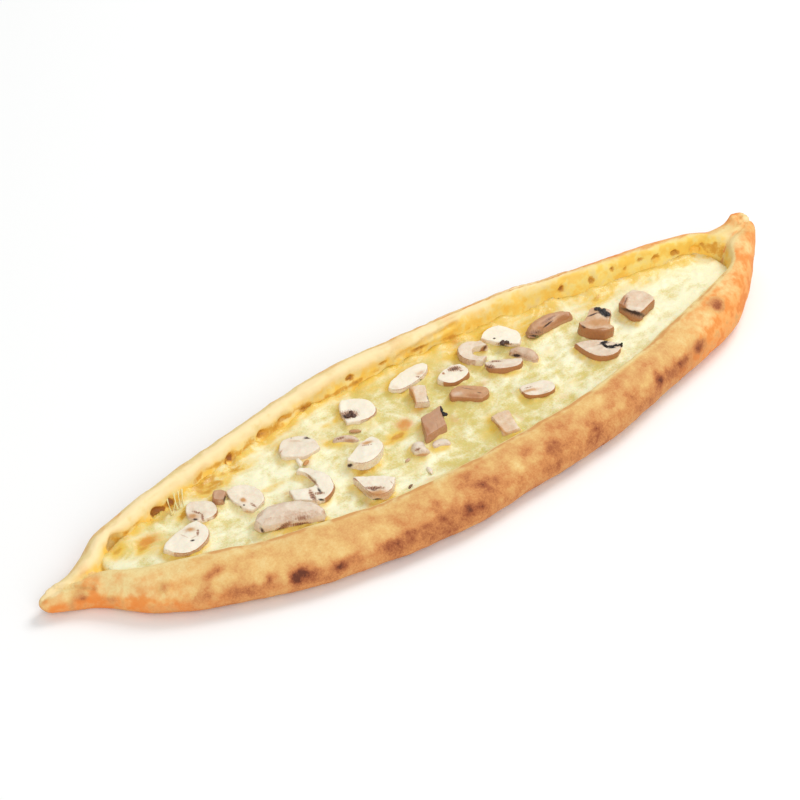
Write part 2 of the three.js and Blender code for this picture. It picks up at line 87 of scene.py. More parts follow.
# Browning of the two rims along the bread: place in mm, then for the front and for the back rim how
# toasted its pale part is, and how far below its crest, as a share of its height, it starts to brown.
RIM_TOAST = (
    (-222, 0.1, 0.1, 0.06, 0.1), (-185, 0.1, 0.2, 0.05, 0.16), (-150, 0.22, 0.12, 0.05, 0.16),
    (-95, 0.36, 0.02, 0.05, 0.16), (-35, 0.48, -0.1, 0.08, 0.15), (50, 0.52, -0.06, 0.1, 0.1),
    (130, 0.26, 0.02, 0.12, 0.06), (180, 0.14, 0.02, 0.14, 0.05), (222, 0.2, 0.02, 0.2, 0.05),
)

# Scorched spots on the rim: the point in mm, its reach along and up the rim, and how dark it is.
SCORCHES = (
    (-137.1, -42.8, 14.8, 4.2, 3.2, 0.42), (-124.2, -48.3, 13.8, 5.8, 4, 0.85),
    (-106.4, -54.4, 12.5, 3.6, 2.8, 0.42), (-74, -58.2, 13.4, 16, 4.2, 0.28),
    (-35.6, -62.1, 14.6, 4.4, 3.4, 0.32), (-47, -62.5, 11, 12, 4, 0.12), (15.8, -59.4, 13.5, 9, 4, 0.08),
    (51.9, -55.5, 16.5, 6, 4.2, 0.14), (44, -58, 12.5, 9, 4, 0.08), (102.9, -46.2, 17.4, 3.6, 4.6, 0.48),
    (110, -45.5, 15.5, 6, 4, 0.16), (122.7, -42.3, 16.2, 7, 3.6, 0.24),
    (138.9, -38.7, 16.8, 6.5, 4.6, 0.28), (162.9, -24.6, 24.1, 4.8, 3.8, 0.85), (85, -52, 11, 9, 3.6, 0.06),
    (-203.9, 8.5, 14.4, 5, 2.4, 0.12), (-209.5, 6.3, 10.6, 4, 3.6, 0.3), (-199.5, -3.1, 9.4, 8, 4, 0.1),
    (-158.5, -26.5, 19, 8, 3, 0.36), (-165.6, -30.4, 13.8, 7, 4, 0.4), (-150.5, -36.5, 14.8, 6, 3.6, 0.26),
    (-180, -18.4, 16.3, 3, 2.6, 0.42), (-147.9, -40.4, 11.8, 7, 4, 0.14), (215.3, 8, 31.4, 6, 4, 0.22),
    (-142.7, -29, 19.5, 6, 3, 0.16), (58.5, -49.6, 20.4, 7, 3.6, 0.14), (8.4, 51, 22, 5, 2.6, 0.26),
    (26, 50, 20, 3.4, 2, 0.3), (73.6, 46.5, 21.6, 4, 2.4, 0.32), (-45, 51, 21.5, 4, 2.4, 0.22),
)

# Creases in the dough: the points they run through, in mm, and their depth and half width.
CREASES = (
    (((-218, 17, 11.8), (-210, 10.5, 13), (-203.6, 4.3, 12.9)), 1.5, 0.9),
    (((8, 49.5, 18), (28, 50.2, 20.2), (47.3, 49.1, 21.7)), 1.3, 0.9),
    (((38, 57, 24), (60, 55.5, 24.6), (85, 51.5, 25.6), (118, 44, 27.2)), 0.9, 0.8),
    (((219, 16, 33), (222, 14.5, 32.8), (226, 14, 32)), 1.6, 1.2),
    (((-176, -21, 15.5), (-168, -22.5, 17), (-158, -26.5, 17.3), (-146, -32, 16.5)), 0.7, 1.8),
)
# A fold between the rims at the upturned tip that the dough has closed: the points it runs through, in
# mm, how far it is lifted and its half width.
CLOSED_FOLD = (
    ((223.5, 14.5, 29.1), (217.6, 13.6, 26.8), (212, 12.5, 25.8), (208.5, 11.8, 24.6)), 3, 3,
)
# Where the upturned tip ends in two small lobes: the point in mm, its reach and how far it stands out.
TIP_LOBES = (((217, 18.5, 34), 4.5, 2.4), ((227, 8, 31), 4.5, 2))

# Places on the rim with a tint of their own: the tint, the point in mm, its reach and its strength.
TINTS = (
    ("orange", 217.5, 8.8, 31.3, 7, 0.8), ("orange", 214.5, 17.5, 32.5, 7.5, 0.85),
    ("orange", -226, 13, 9.4, 5, 0.6), ("pale", 223, 14, 32.4, 2.2, 0.9),
    ("pale", -217.3, 15.2, 10.4, 4, 0.9), ("pale", 205, 9, 29, 7, 0.6),
    ("orange", 12.3, 51, 23.4, 11, 0.55), ("orange", 44.8, 50.2, 23.5, 12, 0.55),
    ("pale", -52.5, 49.2, 20.4, 12, 0.7), ("pale", -20.2, 50.5, 21.8, 8, 0.6),
    ("pale", -154.5, 30.3, 20.2, 9, 0.9), ("orange", -204.3, 8.5, 14.3, 4.2, 0.7),
    ("orange", -201.9, 15.5, 15.8, 7, 0.5), ("orange", -202.6, 0.8, 9.9, 11, 0.6),
    ("orange", 149.6, 34.9, 28.1, 10, 0.45), ("orange", 75.8, 46.8, 23.6, 10, 0.4),
)

# Toasted places on the cheese: place in mm, reach along and across, and how brown each is.
TOASTED = (
    (-18.6, 8.6, 4.8, 4, 1.2), (-28, 3.6, 7, 2.6, 0.4), (3, -3.5, 4, 4.5, 0.6), (23, -3.3, 3, 2.4, 0.55),
    (33, 10, 6, 2.6, 0.45), (22, 32, 5.5, 2.6, 0.4), (-166.5, 14.5, 6, 4, 1), (-184, 23, 4, 4, 0.8),
    (-95.5, 2.2, 3, 2.2, 0.6), (-42, 9, 4, 1.6, 0.35), (44, 44, 3.2, 3.6, 0.55), (110, 26, 4, 2.4, 0.3),
    (-75, 13.5, 4, 2.4, 0.5), (58, -23, 5, 3, 0.3), (150, 15, 3.5, 2.2, 0.3), (-6, 12.5, 4.5, 2.4, 0.6),
    (-70.5, -28, 2.2, 4, 0.55), (30, -22, 2.4, 5, 0.5), (-47, 26, 4, 2.2, 0.35), (-36, -33, 5, 2.4, 0.3),
    (-128, 29, 6, 2, 0.3),
)
# Places where oil has gathered: place in mm, reach along and across, and how much.
# The pool below mushroom piece 9, at -58, -10, is partly oil and partly painted shadow of that piece.
OIL_POOLS = (
    (-122, 31, 12, 7, 1.5), (-143, 20, 8, 6, 0.6), (-105, 33, 14, 5, 1), (-170, 13, 12, 7, 0.9),
    (-181, 18, 8, 6, 0.9), (-27.5, 3.6, 9, 4, 1.1), (-70, 36, 20, 4, 0.45), (-10, 42, 26, 5, 0.5),
    (40, 40, 24, 6, 0.6), (86, 34, 24, 7, 0.85), (126, 27, 18, 7, 0.85), (160, 22, 16, 6, 0.7),
    (-58, -10, 14, 4, 0.5), (20, -14, 10, 6, 0.45), (10, -22, 8, 5, 0.45), (-38, -22, 10, 6, 0.3),
    (70, -18, 12, 5, 0.3), (-150, -10, 10, 4, 0.35), (-98, 10.8, 10, 3, 0.55), (-58, 22, 5, 8, 0.4),
    (-30, 16, 14, 3, 0.3), (76, 8, 10, 6, 0.3), (-47, 31.8, 9, 3, 0.5),
)
# Blisters and lumps in the cheese: place in mm, reach along and across, and height.
BLISTERS = (
    (-23, 17, 12, 9, 1.5), (-158, 21, 5, 4, 1.4), (-177, 19, 6, 5, 1.8), (-17.8, 9.1, 5, 4, 0.9),
    (40, -6, 14, 9, 0.8), (-62, 4, 12, 8, 0.6), (122, 14, 14, 8, 0.7), (76, -2, 10, 8, 0.6),
)
# How white the cheese is along the bread: place in mm, and share more or less than usual.
CHEESE_WHITENESS = (
    (-190, -0.05), (-150, 0.05), (-95, 0.24), (-40, -0.02), (10, -0.2), (60, -0.04), (110, 0.2),
    (200, 0.34),
)

# Mushroom pieces: form, degrees from +X of the way that the dome or the length points, tone of the
# flesh from white to brown, how greyish pink it is, and how much of its dome side is brown skin.
MUSHROOMS = {
    1: ("slice", -72, 0.08, 0.05, 0.55), 2: ("slice", -20, 0.24, 0.15, 0.8),
    3: ("chunk", 60, 0.75, 0.75, 0.6), 4: ("slice", 5, 0.24, 0.02, 0.15),
    5: ("bean", -23, 0.26, 0.45, 0), 6: ("slice", 72, 0.18, 0.2, 0.55),
    7: ("curl", -20, 0.10, 0.08, 0.85), 8: ("bit", -36, 0.35, 0.55, 0),
    9: ("slice", -70, 0.08, 0.05, 0.3), 10: ("slice", -128, 0.14, 0.08, 0.38),
    11: ("slice", -28, 0, 0.02, 0.5), 12: ("slice", -78, 0.04, 0.04, 0.3),
    13: ("stem", 63, 0.42, 0, 0.4), 14: ("block", 62, 0.9, 0.9, 0.5),
    15: ("bit", 70, 0.18, 0.3, 0), 16: ("bit", -25, 0.2, 0.4, 0),
    17: ("slice", -78, 0.08, 0.08, 1), 18: ("chunk", -36, 0.9, 0.5, 0.8),
    19: ("hook", -35, 0.32, 0.2, 0.5), 20: ("slice", 38, 0, 0, 0.1),
    21: ("slice", -117, 0.3, 0.3, 1), 22: ("bean", -70, 0.5, 0.45, 0.3),
    23: ("stem", 74, 0.55, 0, 0), 24: ("slice", -112, 0.14, 0.2, 0.8),
    25: ("bean", 0, 0.85, 0.65, 0.5), 26: ("whole", -140, 0.62, 0.25, 0.8),
    27: ("slice", -130, 0.36, 0.3, 1), 28: ("chunk", 24, 0.46, 0.15, 1),
}

# Marks on the mushrooms, by kind: the piece, the place in mm on a level plane through the cheese along
# the line of sight, its reach along and across in mm, its turn in degrees, and how strong it is.
MARKS = {
    "tan": (
        (1, -146.6, 8, 2.8, 1.8, -39, 0.7), (2, -140.6, 15.1, 2.6, 2, -25, 0.65),
        (4, -115.3, 9.9, 1.2, 1.6, -27, 1), (4, -118.3, 1.4, 2.2, 1, -58, 0.5),
        (6, -69, 30, 3.3, 0.8, -45, 0.35), (7, -96, -2.8, 3.8, 0.6, 67, 0.5),
        (8, -48.5, 13.5, 2.4, 1.2, -39, 0.6), (9, -42.8, 7.4, 3.2, 1.3, -14, 0.85),
        (10, -62.4, -25.6, 6.2, 3.2, -41, 0.75), (11, -30.1, 21.3, 2.7, 1, 25, 0.6),
        (12, 12.6, 34.9, 3.3, 1.7, 10, 0.6), (12, -4.8, 33.3, 2.2, 1.6, -54, 0.3),
        (13, -2.7, 21.6, 7, 1, 61, 0.7), (15, -27.6, -16.8, 3.5, 1.3, -26, 0.8),
        (16, -14.9, -19.2, 2.2, 1, -22, 0.8), (23, 15.2, -24.4, 6.3, 0.7, 84, 0.5),
        (24, 46.1, -10.7, 4.6, 1, -17, 0.75), (24, 52, -16.7, 2.5, 0.8, -11, 0.3),
        (26, 111.7, 10.4, 5.8, 2.8, -42, 0.45),
    ),
    "skin": (
        (1, -151.6, 6.2, 3.5, 0.5, -75, 0.55), (1, -148.5, 2.6, 2.9, 0.5, -1, 0.5),
        (5, -90.4, -21.5, 4.3, 1.8, 90, 0.5), (6, -80.8, 27.1, 3.8, 0.5, 34, 0.6),
        (10, -66.8, -24.6, 4.5, 1.4, 86, 0.55), (10, -52.3, -23.7, 2.1, 0.5, 84, 0.6),
        (14, -14.2, -4.3, 7.2, 1.6, 71, 0.75), (17, 21.6, 27.3, 1, 1.3, -19, 0.85),
        (18, 21.8, 3.6, 4.6, 2.6, -44, 0.8), (19, 50.3, 30.1, 4.6, 1.6, 26, 1),
        (19, 44.6, 24.2, 1.6, 1, -52, 0.4), (22, 58.4, 18.6, 1.5, 1, 8, 0.7), (25, 101.4, 25, 7, 2.6, 8, 1),
        (26, 107.6, 6.2, 7.3, 1.1, -37, 0.8), (26, 105.9, 3.6, 9.5, 2.4, -40, 0.45),
        (28, 134.6, 16.6, 6.2, 2.5, 30, 0.8), (28, 144.6, 3.5, 5.6, 1, 25, 0.4),
        (28, 130.8, 13.7, 4, 3, 30, 0.9),
    ),
    "gill": (
        (1, -145.2, 4.1, 2.6, 0.7, 53, 0.6), (2, -137.5, 16.1, 2.7, 0.7, -63, 0.7),
        (2, -137.5, 11.5, 2.6, 0.7, 62, 0.7), (4, -113.8, 3.8, 2.5, 1, -90, 0.5),
        (5, -100.7, -17.9, 3.8, 2.2, -26, 0.55), (5, -112, -17.7, 5.2, 1.7, 10, 0.95),
        (5, -104.6, -21, 5.1, 1.4, -35, 0.85), (7, -81, 1.4, 6, 0.7, 87, 0.6),
        (7, -87.5, -7.8, 4.2, 1.2, 71, 0.85), (7, -83.6, -8.3, 2.4, 1.1, -33, 0.7),
        (8, -51.1, 18.3, 2.4, 1, -13, 0.8), (9, -44.2, 6.1, 2.9, 0.5, -23, 0.5),
        (10, -61.1, -21.3, 4.4, 1.1, -42, 0.95), (11, -36.4, 30.6, 4.1, 3, -21, 1),
        (12, 9.7, 32.8, 1.3, 0.6, -54, 0.6), (14, -7.6, -3.2, 8.4, 0.5, 59, 0.3),
        (14, -4.5, -3, 7.4, 0.5, 60, 0.25), (15, -26.9, -12.4, 1.5, 0.8, 5, 0.7),
        (16, -16.5, -15.9, 0.8, 0.6, -30, 0.5), (17, 28.2, 26.7, 3.2, 2, -18, 1),
        (17, 29.7, 23.2, 1.1, 0.7, -15, 0.7), (20, 61.7, 26.6, 3.9, 1.2, -39, 0.8),
        (20, 63.3, 29, 1.3, 1, -54, 0.35), (21, 48.9, 18.3, 3.1, 0.8, -28, 0.8),
        (21, 43.4, 17.1, 2.8, 1.6, -61, 0.95), (24, 47.2, -8.6, 2.4, 0.5, -16, 0.5),
        (25, 80.8, 23.9, 4.3, 2.4, -30, 0.85), (25, 93.7, 28.7, 5.8, 1.2, 10, 0.8),
        (28, 132.4, 2.4, 7, 2.6, -60, 0.9),
    ),
    "dark": (
        (1, -150.2, 1.2, 1.1, 0.7, -6, 1), (2, -141, 12.5, 1.4, 0.8, -44, 0.8),
        (3, -121.4, 14.7, 3.2, 1.8, 64, 0.8), (4, -119.6, 6.2, 0.6, 0.8, -24, 0.95),
        (4, -117.3, 6.5, 0.6, 0.7, -21, 0.85), (5, -118.7, -18.5, 2, 1, -39, 0.85),
        (5, -97.1, -26.1, 5.1, 0.9, -18, 0.85), (5, -121.2, -13.7, 3.3, 1, 70, 0.7),
        (6, -62.8, 28.7, 2.4, 1, -23, 0.85), (6, -69.5, 33.6, 0.7, 0.6, -39, 0.5),
        (7, -82.5, -6.6, 2.5, 0.8, 76, 0.7), (7, -86.2, -13, 1.6, 0.9, -68, 0.9),
        (9, -60.7, -1.5, 1.8, 1.3, 6, 0.9), (10, -65.8, -29.9, 2.6, 1.2, -30, 0.8),
        (10, -62.1, -22.2, 1.7, 0.6, -52, 0.7), (11, -38.5, 30.8, 1.7, 1.3, -58, 1),
        (11, -34.9, 30.1, 2.1, 1.1, -71, 0.8), (12, 9.4, 29.5, 1.4, 0.6, -53, 0.8),
        (13, 3.1, 15.3, 3.6, 1.2, 67, 1), (14, 0.9, 2.5, 5.5, 0.5, 65, 0.8),
        (17, 27.5, 26.4, 2.5, 0.5, -24, 0.6), (18, 23.1, 10.1, 4.9, 0.4, -47, 0.5),
        (18, 25.7, 4, 1.7, 0.5, -52, 0.5), (19, 51.8, 30.6, 2.7, 0.7, 29, 0.6),
        (20, 60.9, 33.8, 0.8, 0.8, -59, 0.85), (20, 59.3, 24.5, 2.8, 2.2, -48, 1),
        (21, 42.5, 16.8, 1.8, 0.6, -61, 0.7), (22, 60.3, 15.4, 2.2, 1.4, -46, 1),
        (25, 78.7, 21.7, 3.7, 1, -48, 0.8), (25, 90.7, 25.8, 4.7, 0.7, 14, 0.8),
        (26, 113.8, 17.8, 3.3, 0.7, -11, 0.95), (26, 102.8, 12.6, 2, 1, 79, 0.6),
        (27, 101.9, -4.6, 3.5, 0.6, -18, 0.85), (27, 100.6, -7.1, 2.1, 0.8, -83, 0.9),
        (28, 131.6, 6.2, 7.4, 1.8, -66, 0.9), (28, 135.4, 16, 4.7, 0.6, 33, 0.5),
    ),
    "char": (
        (26, 119, 14.8, 4.8, 2.6, 89, 1), (27, 102.5, -10.1, 2.4, 1, -33, 0.9),
    ),
    # The pale mark in the hollow of piece 5, at -113.7, -16.5, and the one on piece 28 are painted
    # highlights.
    "pale": (
        (2, -134.8, 9.1, 2.3, 2, 89, 0.7), (3, -124.8, 16, 1, 1.2, 0, 0.35),
        (5, -113.7, -16.5, 1.7, 0.8, 1, 0.8), (11, -35.8, 30.3, 0.6, 0.5, -67, 0.7),
        (18, 16.3, 9.7, 2.9, 1.7, -29, 0.7), (21, 55.7, 13.2, 5.2, 1.3, -19, 0.9),
        (23, 22.8, -28.2, 3.7, 1.8, 76, 0.5), (25, 96.4, 28.2, 4.2, 0.5, 11, 0.5),
        (27, 95.6, -4.8, 3.6, 1.8, -39, 0.5), (28, 136.2, 6.8, 2.8, 1, -52, 0.8),
        (5, -113.6, -12, 4, 2.4, 0, 0.8),
    ),
}
# The height of that plane, and how far the line of sight moves a place for each mm above it.
MARK_LEVEL = 15.0
MARK_SHIFT = (0.8, 1)

# Strands of cheese between the back rim and the filling: their two ends in mm and their thickness.
STRINGS = (
    ((-144, 32.2, 16), (-147, 23.6, 13.5), 0.6), ((-139.8, 32.8, 16.6), (-142.9, 24.8, 13.6), 0.75),
    ((-137.2, 33, 16.6), (-141.4, 24.6, 13.6), 0.6), ((-135, 33, 16.6), (-139.8, 24.4, 13.6), 0.65),
    ((-141.6, 28.6, 15), (-146.6, 23.9, 13.5), 0.5),
)

# Scraps that lie on the cheese: place in mm, length, width and thickness, turn in degrees, and marks.
SCRAPS = {
    "pale_sliver": ((-31.9, -27.7), (5.6, 2.2, 1.8), 75, {"tan": 0.2, "pink": 0.2}),
    "rim_speck": ((-46.5, -31), (3.4, 1.3, 1), 25, {"tan": 0.9, "dark": 0.5}),
    "brown_crumb": ((-41, 19.5), (5.6, 2, 1.4), -35, {"tan": 0.9, "pink": 0.6}),
    "stem_strip": ((-78.4, 15.4), (6.8, 2.6, 2), -107, {"tan": 0.2}),
    "stem_scrap": ((-75.4, 13.6), (4.4, 2, 1.2), 20, {"tan": 1.0}),
    "pink_scrap": ((-34.7, -14.2), (3.4, 1.8, 1), 10, {"tan": 0.6, "pink": 0.7}),
}

# Burnt gill edges and crumbs on a mushroom piece: place in mm, reach along, across and up, and turn.
BURNT = {
    14: (
        (-1.2, 1, 2.6, 0.6, 0.6, 64), (-2.6, -2.2, 1.6, 0.7, 0.7, 64), (-2, -3.3, 1.3, 0.8, 0.9, -10),
    ),
    26: (
        (112.6, 11.2, 2.2, 1.4, 0.6, -50), (113.6, 8.2, 2.4, 1.7, 0.8, 80),
        (113.4, 4.8, 1.8, 1.2, 0.7, 60),
    ),
    27: (
        (99.1, -8.1, 2.6, 0.6, 0.4, -18), (97.9, -10.6, 1.8, 0.7, 0.5, -80),
        (99.8, -13.4, 2, 0.8, 0.6, -33), (102, -14.6, 1.2, 0.6, 0.9, -40),
        (103.6, -15.2, 0.9, 0.5, 1.2, 20), (104.4, -15.8, 0.7, 0.4, 1.6, -30),
    ),
    20: ((59.8, 25.6, 1.8, 1.3, 1, 30), (61.8, 24.6, 1.5, 1, 0.8, -20)),
    11: (
        (-38.6, 27.6, 1.7, 1.2, 0.7, 10), (-37, 25.8, 1.6, 1, 0.6, 60),
        (-36.2, 29, 1.4, 0.9, 0.6, 100),
    ),
}
# How strong the marks on those burnt places are.
BURNT_TONE = {
    14: {"char": 0.8}, 26: {"char": 0.9}, 27: {"char": 0.9},
    20: {"gill": 1.0, "dark": 0.5}, 11: {"gill": 1.0, "dark": 0.4},
}

# Points of a solid closer than this are merged, and slices across the bread are this long, in mm.
MERGE_GAP = 0.01
SLICE = 2.0
FAR = 1e9


def only(piece):
    """Select one piece alone."""
    bpy.ops.object.select_all(action="DESELECT")
    piece.select_set(True)
    bpy.context.view_layer.objects.active = piece


def apply(piece, kind, **settings):
    """Add a modifier with its settings and apply it."""
    modifier = piece.modifiers.new(kind.lower(), kind)
    for key, value in settings.items():
        setattr(modifier, key, value)
    only(piece)
    bpy.ops.object.modifier_apply(modifier=modifier.name)


def placed(name, data):
    """A new object in the scene."""
    made = bpy.data.objects.new(name, data)
    bpy.context.scene.collection.objects.link(made)
    return made


def copy_of(node, name):
    """A piece with a merged copy of a node's mesh."""
    piece = placed(name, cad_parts[node].data.copy())
    piece.data.materials.clear()
    only(piece)
    bpy.ops.object.mode_set(mode="EDIT")
    bpy.ops.mesh.select_all(action="SELECT")
    bpy.ops.mesh.remove_doubles(threshold=MERGE_GAP * MM)
    bpy.ops.mesh.tris_convert_to_quads()
    bpy.ops.object.mode_set(mode="OBJECT")
    return piece


def finish_piece(piece, node, finish):
    """Shade a piece, put it on the part and let it stand for its node."""
    only(piece)
    bpy.ops.object.shade_smooth()
    piece.data.materials.append(finish)
    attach(piece, "root")
    if node:
        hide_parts(node)


def points_of(piece):
    """A mesh's points, in millimetres."""
    flat = np.empty(3 * len(piece.data.vertices), np.float32)
    piece.data.vertices.foreach_get("co", flat)
    return flat.reshape(-1, 3).astype(float) / MM


def normals_of(piece):
    """The directions that a mesh's points face."""
    flat = np.empty(3 * len(piece.data.vertices), np.float32)
    piece.data.vertex_normals.foreach_get("vector", flat)
    return flat.reshape(-1, 3).astype(float)


def refine(piece, grain, rounds):
    """Give a piece an even mesh with faces of a size in millimetres. Gives its points and normals."""
    apply(piece, "REMESH", mode="VOXEL", voxel_size=grain * MM)
    if rounds:
        apply(piece, "SMOOTH", factor=0.5, iterations=rounds)
    return points_of(piece), normals_of(piece)


def place_points(piece, points):
    """Put a mesh's points where they are given, in millimetres."""
    piece.data.vertices.foreach_set("co", (points * MM).astype(np.float32).ravel())
    piece.data.update()


def keep(piece, name, values):
    """Keep a value for every point, for the finish to read."""
    attribute = piece.data.attributes.new(name, "FLOAT", "POINT")
    attribute.data.foreach_set("value", np.clip(values, 0, 1).astype(np.float32))


def rough(points, size, seed):
    """Smooth unevenness, about -1 to 1, in lumps of a size in millimetres."""
    return np.array([noise.noise(place) for place in (points / size + seed).tolist()])


def layered(points, *layers):
    """Unevenness in layers: the height of each, the size of its lumps in millimetres and its seed."""
    return sum(height * rough(points, size, seed) for height, size, seed in layers)


def ease(values, low, high):
    """From 0 at low to 1 at high, smoothly."""
    share = np.clip((values - low) / (high - low), 0, 1)
    return share * share * (3 - 2 * share)


def fade(distance, reach):
    """1 at no distance, fading out over a reach."""
    return np.exp(-((distance / reach) ** 2))


def spot(along, across, reach_along, reach_across):
    """1 at a middle, fading out over a reach each way."""
    return fade(along, reach_along) * fade(across, reach_across)


def around(points, place, reach):
    """1 at a place in space, fading out over a reach."""
    return fade(np.linalg.norm(points - np.array(place), axis=1), reach)


def turned(x, y, angle):
    """How far places lie along and across a direction, given as an angle from +X."""
    return x * math.cos(angle) + y * math.sin(angle), y * math.cos(angle) - x * math.sin(angle)


def distance_to_path(points, path):
    """How far each point is from a line of straight stretches."""
    nearest = np.full(len(points), np.inf)
    for start, end in zip(path[:-1], path[1:]):
        start, end = np.array(start, float), np.array(end, float)
        step = end - start
        share = np.clip((points - start) @ step / (step @ step), 0, 1)
        nearest = np.minimum(nearest, np.linalg.norm(points - start - share[:, None] * step, axis=1))
    return nearest


def edges_along(points):
    """For the slice that each point is in: the lowest and highest y, and the height of the front and back."""
    x, y, z = points.T
    slices = ((x - x.min()) / SLICE).astype(int)
    count = slices.max() + 1
    at_front = y < middle_line(x)
    found = []
    for values, worst, choose in (
        (y, FAR, np.minimum), (y, -FAR, np.maximum),
        (np.where(at_front, z, -FAR), -FAR, np.maximum), (np.where(at_front, -FAR, z), -FAR, np.maximum),
    ):
        row = np.full(count, worst)
        choose.at(row, slices, values)
        found.append(np.interp(x, x.min() + (np.arange(count) + 0.5) * SLICE, row))
    return found


def middle_line(x):
    """How far back the trough's middle line lies."""
    return np.interp(x, *zip(*MIDDLE_LINE))


class Wire:
    """A socket of a finish. Maths on it adds Math nodes, and node() adds any other node."""

    def __init__(self, tree, socket=None):
        self.tree = tree
        self.socket = socket

    def node(self, kind, settings, inputs, output=0):
        """Add a node with its settings, then the values or wires of its sockets. Gives one output."""
        made = self.tree.nodes.new(kind)
        for key, value in settings.items():
            setattr(made, key, value)
        for key, value in inputs.items():
            if isinstance(value, Wire):
                self.tree.links.new(value.socket, made.inputs[key])
            else:
                made.inputs[key].default_value = value
        return Wire(self.tree, made.outputs[output])

    def maths(self, operation, first, second):
        """Add a Math node on two values or wires."""
        return self.node("ShaderNodeMath", {"operation": operation}, {0: first, 1: second})

    def __add__(self, other):
        return self.maths("ADD", self, other)

    def __sub__(self, other):
        return self.maths("SUBTRACT", self, other)

    def __rsub__(self, other):
        return self.maths("SUBTRACT", other, self)

    def __mul__(self, other):
        return self.maths("MULTIPLY", self, other)

    __radd__ = __add__
    __rmul__ = __mul__


def fill_ramp(ramp, stops):
    """Give a colour ramp its stops, each a place and a colour."""
    while len(ramp.elements) < len(stops):
        ramp.elements.new(1.0)
    for element, (place, colour) in zip(ramp.elements, stops):
        element.position = place
        element.color = colour


def colour(red, green, blue):
    """A colour given as on a screen, from 0 to 255."""
    shares = [value / 255 for value in (red, green, blue)]
    return tuple(s / 12.92 if s < 0.04045 else ((s + 0.055) / 1.055) ** 2.4 for s in shares) + (1.0,)


def new_finish(name, **constants):
    """A material with its shader's fixed values set, and a wire to start its nodes from."""
    material = bpy.data.materials.new(name)
    material.use_nodes = True
    shader = material.node_tree.nodes["Principled BSDF"]
    for key, value in constants.items():
        shader.inputs[key.replace("_", " ").title().replace("Ior", "IOR")].default_value = value
    return material, shader, Wire(material.node_tree)


def kept(start, name):
    """A value that a piece keeps for every point."""
    return start.node("ShaderNodeAttribute", {"attribute_name": name}, {}, output=2)


def clouds(start, size, detail, stretch=None):
    """Noise from 0 to 1, in lumps of a size in millimetres."""
    place = start.node("ShaderNodeTexCoord", {}, {}, output=3)
    if stretch:
        place = start.node("ShaderNodeMapping", {}, {"Vector": place, "Scale": stretch})
    return start.node("ShaderNodeTexNoise", {}, {"Vector": place, "Scale": 1 / (size * MM), "Detail": detail})


def between(value, low, high):
    """0 below low, 1 above high, smooth between."""
    settings = {"interpolation_type": "SMOOTHSTEP"}
    return value.node("ShaderNodeMapRange", settings, {"Value": value, "From Min": low, "From Max": high})


def broken_up(amount, unevenness):
    """A kept amount as a mask with uneven edges."""
    return between(amount * (1 + unevenness), 0.1, 0.9)


def mixed(under, over, share):
    """One colour over another by a share."""
    return share.node("ShaderNodeMix", {"data_type": "RGBA"}, {0: share, 6: under, 7: over}, output=2)


def connect(shader, socket, wire):
    """Lead a wire into a shader's socket."""
    wire.tree.links.new(wire.socket, shader.inputs[socket])


def bumped(shader, height, strength, depth):
    """Give a shader fine relief, with its depth in millimetres."""
    inputs = {"Strength": strength, "Distance": depth * MM, "Height": height}
    connect(shader, "Normal", height.node("ShaderNodeBump", {}, inputs))


CREAM = colour(240, 216, 152)
GOLDEN = colour(229, 185, 115)
ORANGE_BROWN = colour(208, 138, 80)
BROWN = colour(160, 88, 50)
SCORCHED = colour(104, 52, 32)
PALE_DOUGH = colour(254, 229, 176)
LIGHT_ORANGE = colour(252, 174, 96)
DEEP_ORANGE = colour(238, 142, 62)
BROWNED_LIP = colour(214, 146, 80)
LIGHT_YELLOW = colour(255, 226, 122)
DEEP_YELLOW = colour(254, 206, 82)
# The two colours of painted shade in the crust's hollows.
HOLLOW_SHADE_GOLD = colour(222, 164, 66)
HOLLOW_SHADE_BROWN = colour(166, 104, 46)


def crust_finish():
    """Baked dough: cream where it is pale, through golden and orange brown to scorched, with painted shade in
    its hollows.
    """
    material, shader, start = new_finish("baked_crust", roughness=0.6, specular_ior_level=0.25)
    broad = clouds(start, 9, 3.0) - 0.5
    blotches = clouds(start, 3.6, 3.0) - 0.5
    speckle = clouds(start, 1.1, 2.0) - 0.5
    grain = clouds(start, 0.5, 1.0) - 0.5
    toast = kept(start, "toast") + broad * 0.36 + blotches * 0.3 + speckle * 0.3 + grain * 0.2
    stops = [(0.0, CREAM), (0.3, GOLDEN), (0.6, ORANGE_BROWN), (0.84, BROWN), (1.0, SCORCHED)]
    base = start.node("ShaderNodeValToRGB", {}, {"Fac": toast})
    fill_ramp(base.socket.node.color_ramp, stops)
    uneven = broad * 2.2 + blotches * 1.6
    base = mixed(base, PALE_DOUGH, broken_up(kept(start, "pale"), uneven))
    orange = mixed(LIGHT_ORANGE, DEEP_ORANGE, between(uneven, -0.3, 0.3))
    base = mixed(base, orange, broken_up(kept(start, "orange"), uneven) * 0.88)
    base = mixed(base, BROWNED_LIP, broken_up(kept(start, "lip"), uneven) * 0.8)
    oil = broken_up(kept(start, "oil"), uneven)
    yellow = mixed(LIGHT_YELLOW, DEEP_YELLOW, between(uneven, -0.25, 0.25))
    base = mixed(base, yellow, oil * 0.85)
    # Painted shade in the pits, the crevice and the burst bubbles: golden, then brown where it is deepest.
    cave = kept(start, "cave") * (1 + blotches * 1.6 + speckle * 1.0)
    base = mixed(base, HOLLOW_SHADE_GOLD, between(cave, 0.1, 0.5))
    base = mixed(base, HOLLOW_SHADE_BROWN, between(cave, 0.45, 0.95))
    connect(shader, "Base Color", base)
    connect(shader, "Roughness", 0.7 - oil * 0.28)
    bumped(shader, clouds(start, 2.4, 4.0) * 0.7 + speckle * 0.3 + blotches * 0.3, 0.4, 0.5)
    return material


CRUST_GRAIN = 1.2
# How high the dough stands beside a crease, as a share of its depth, and how many half widths off.
CREASE_BANK = 0.45
BANK_PLACE = 2.6


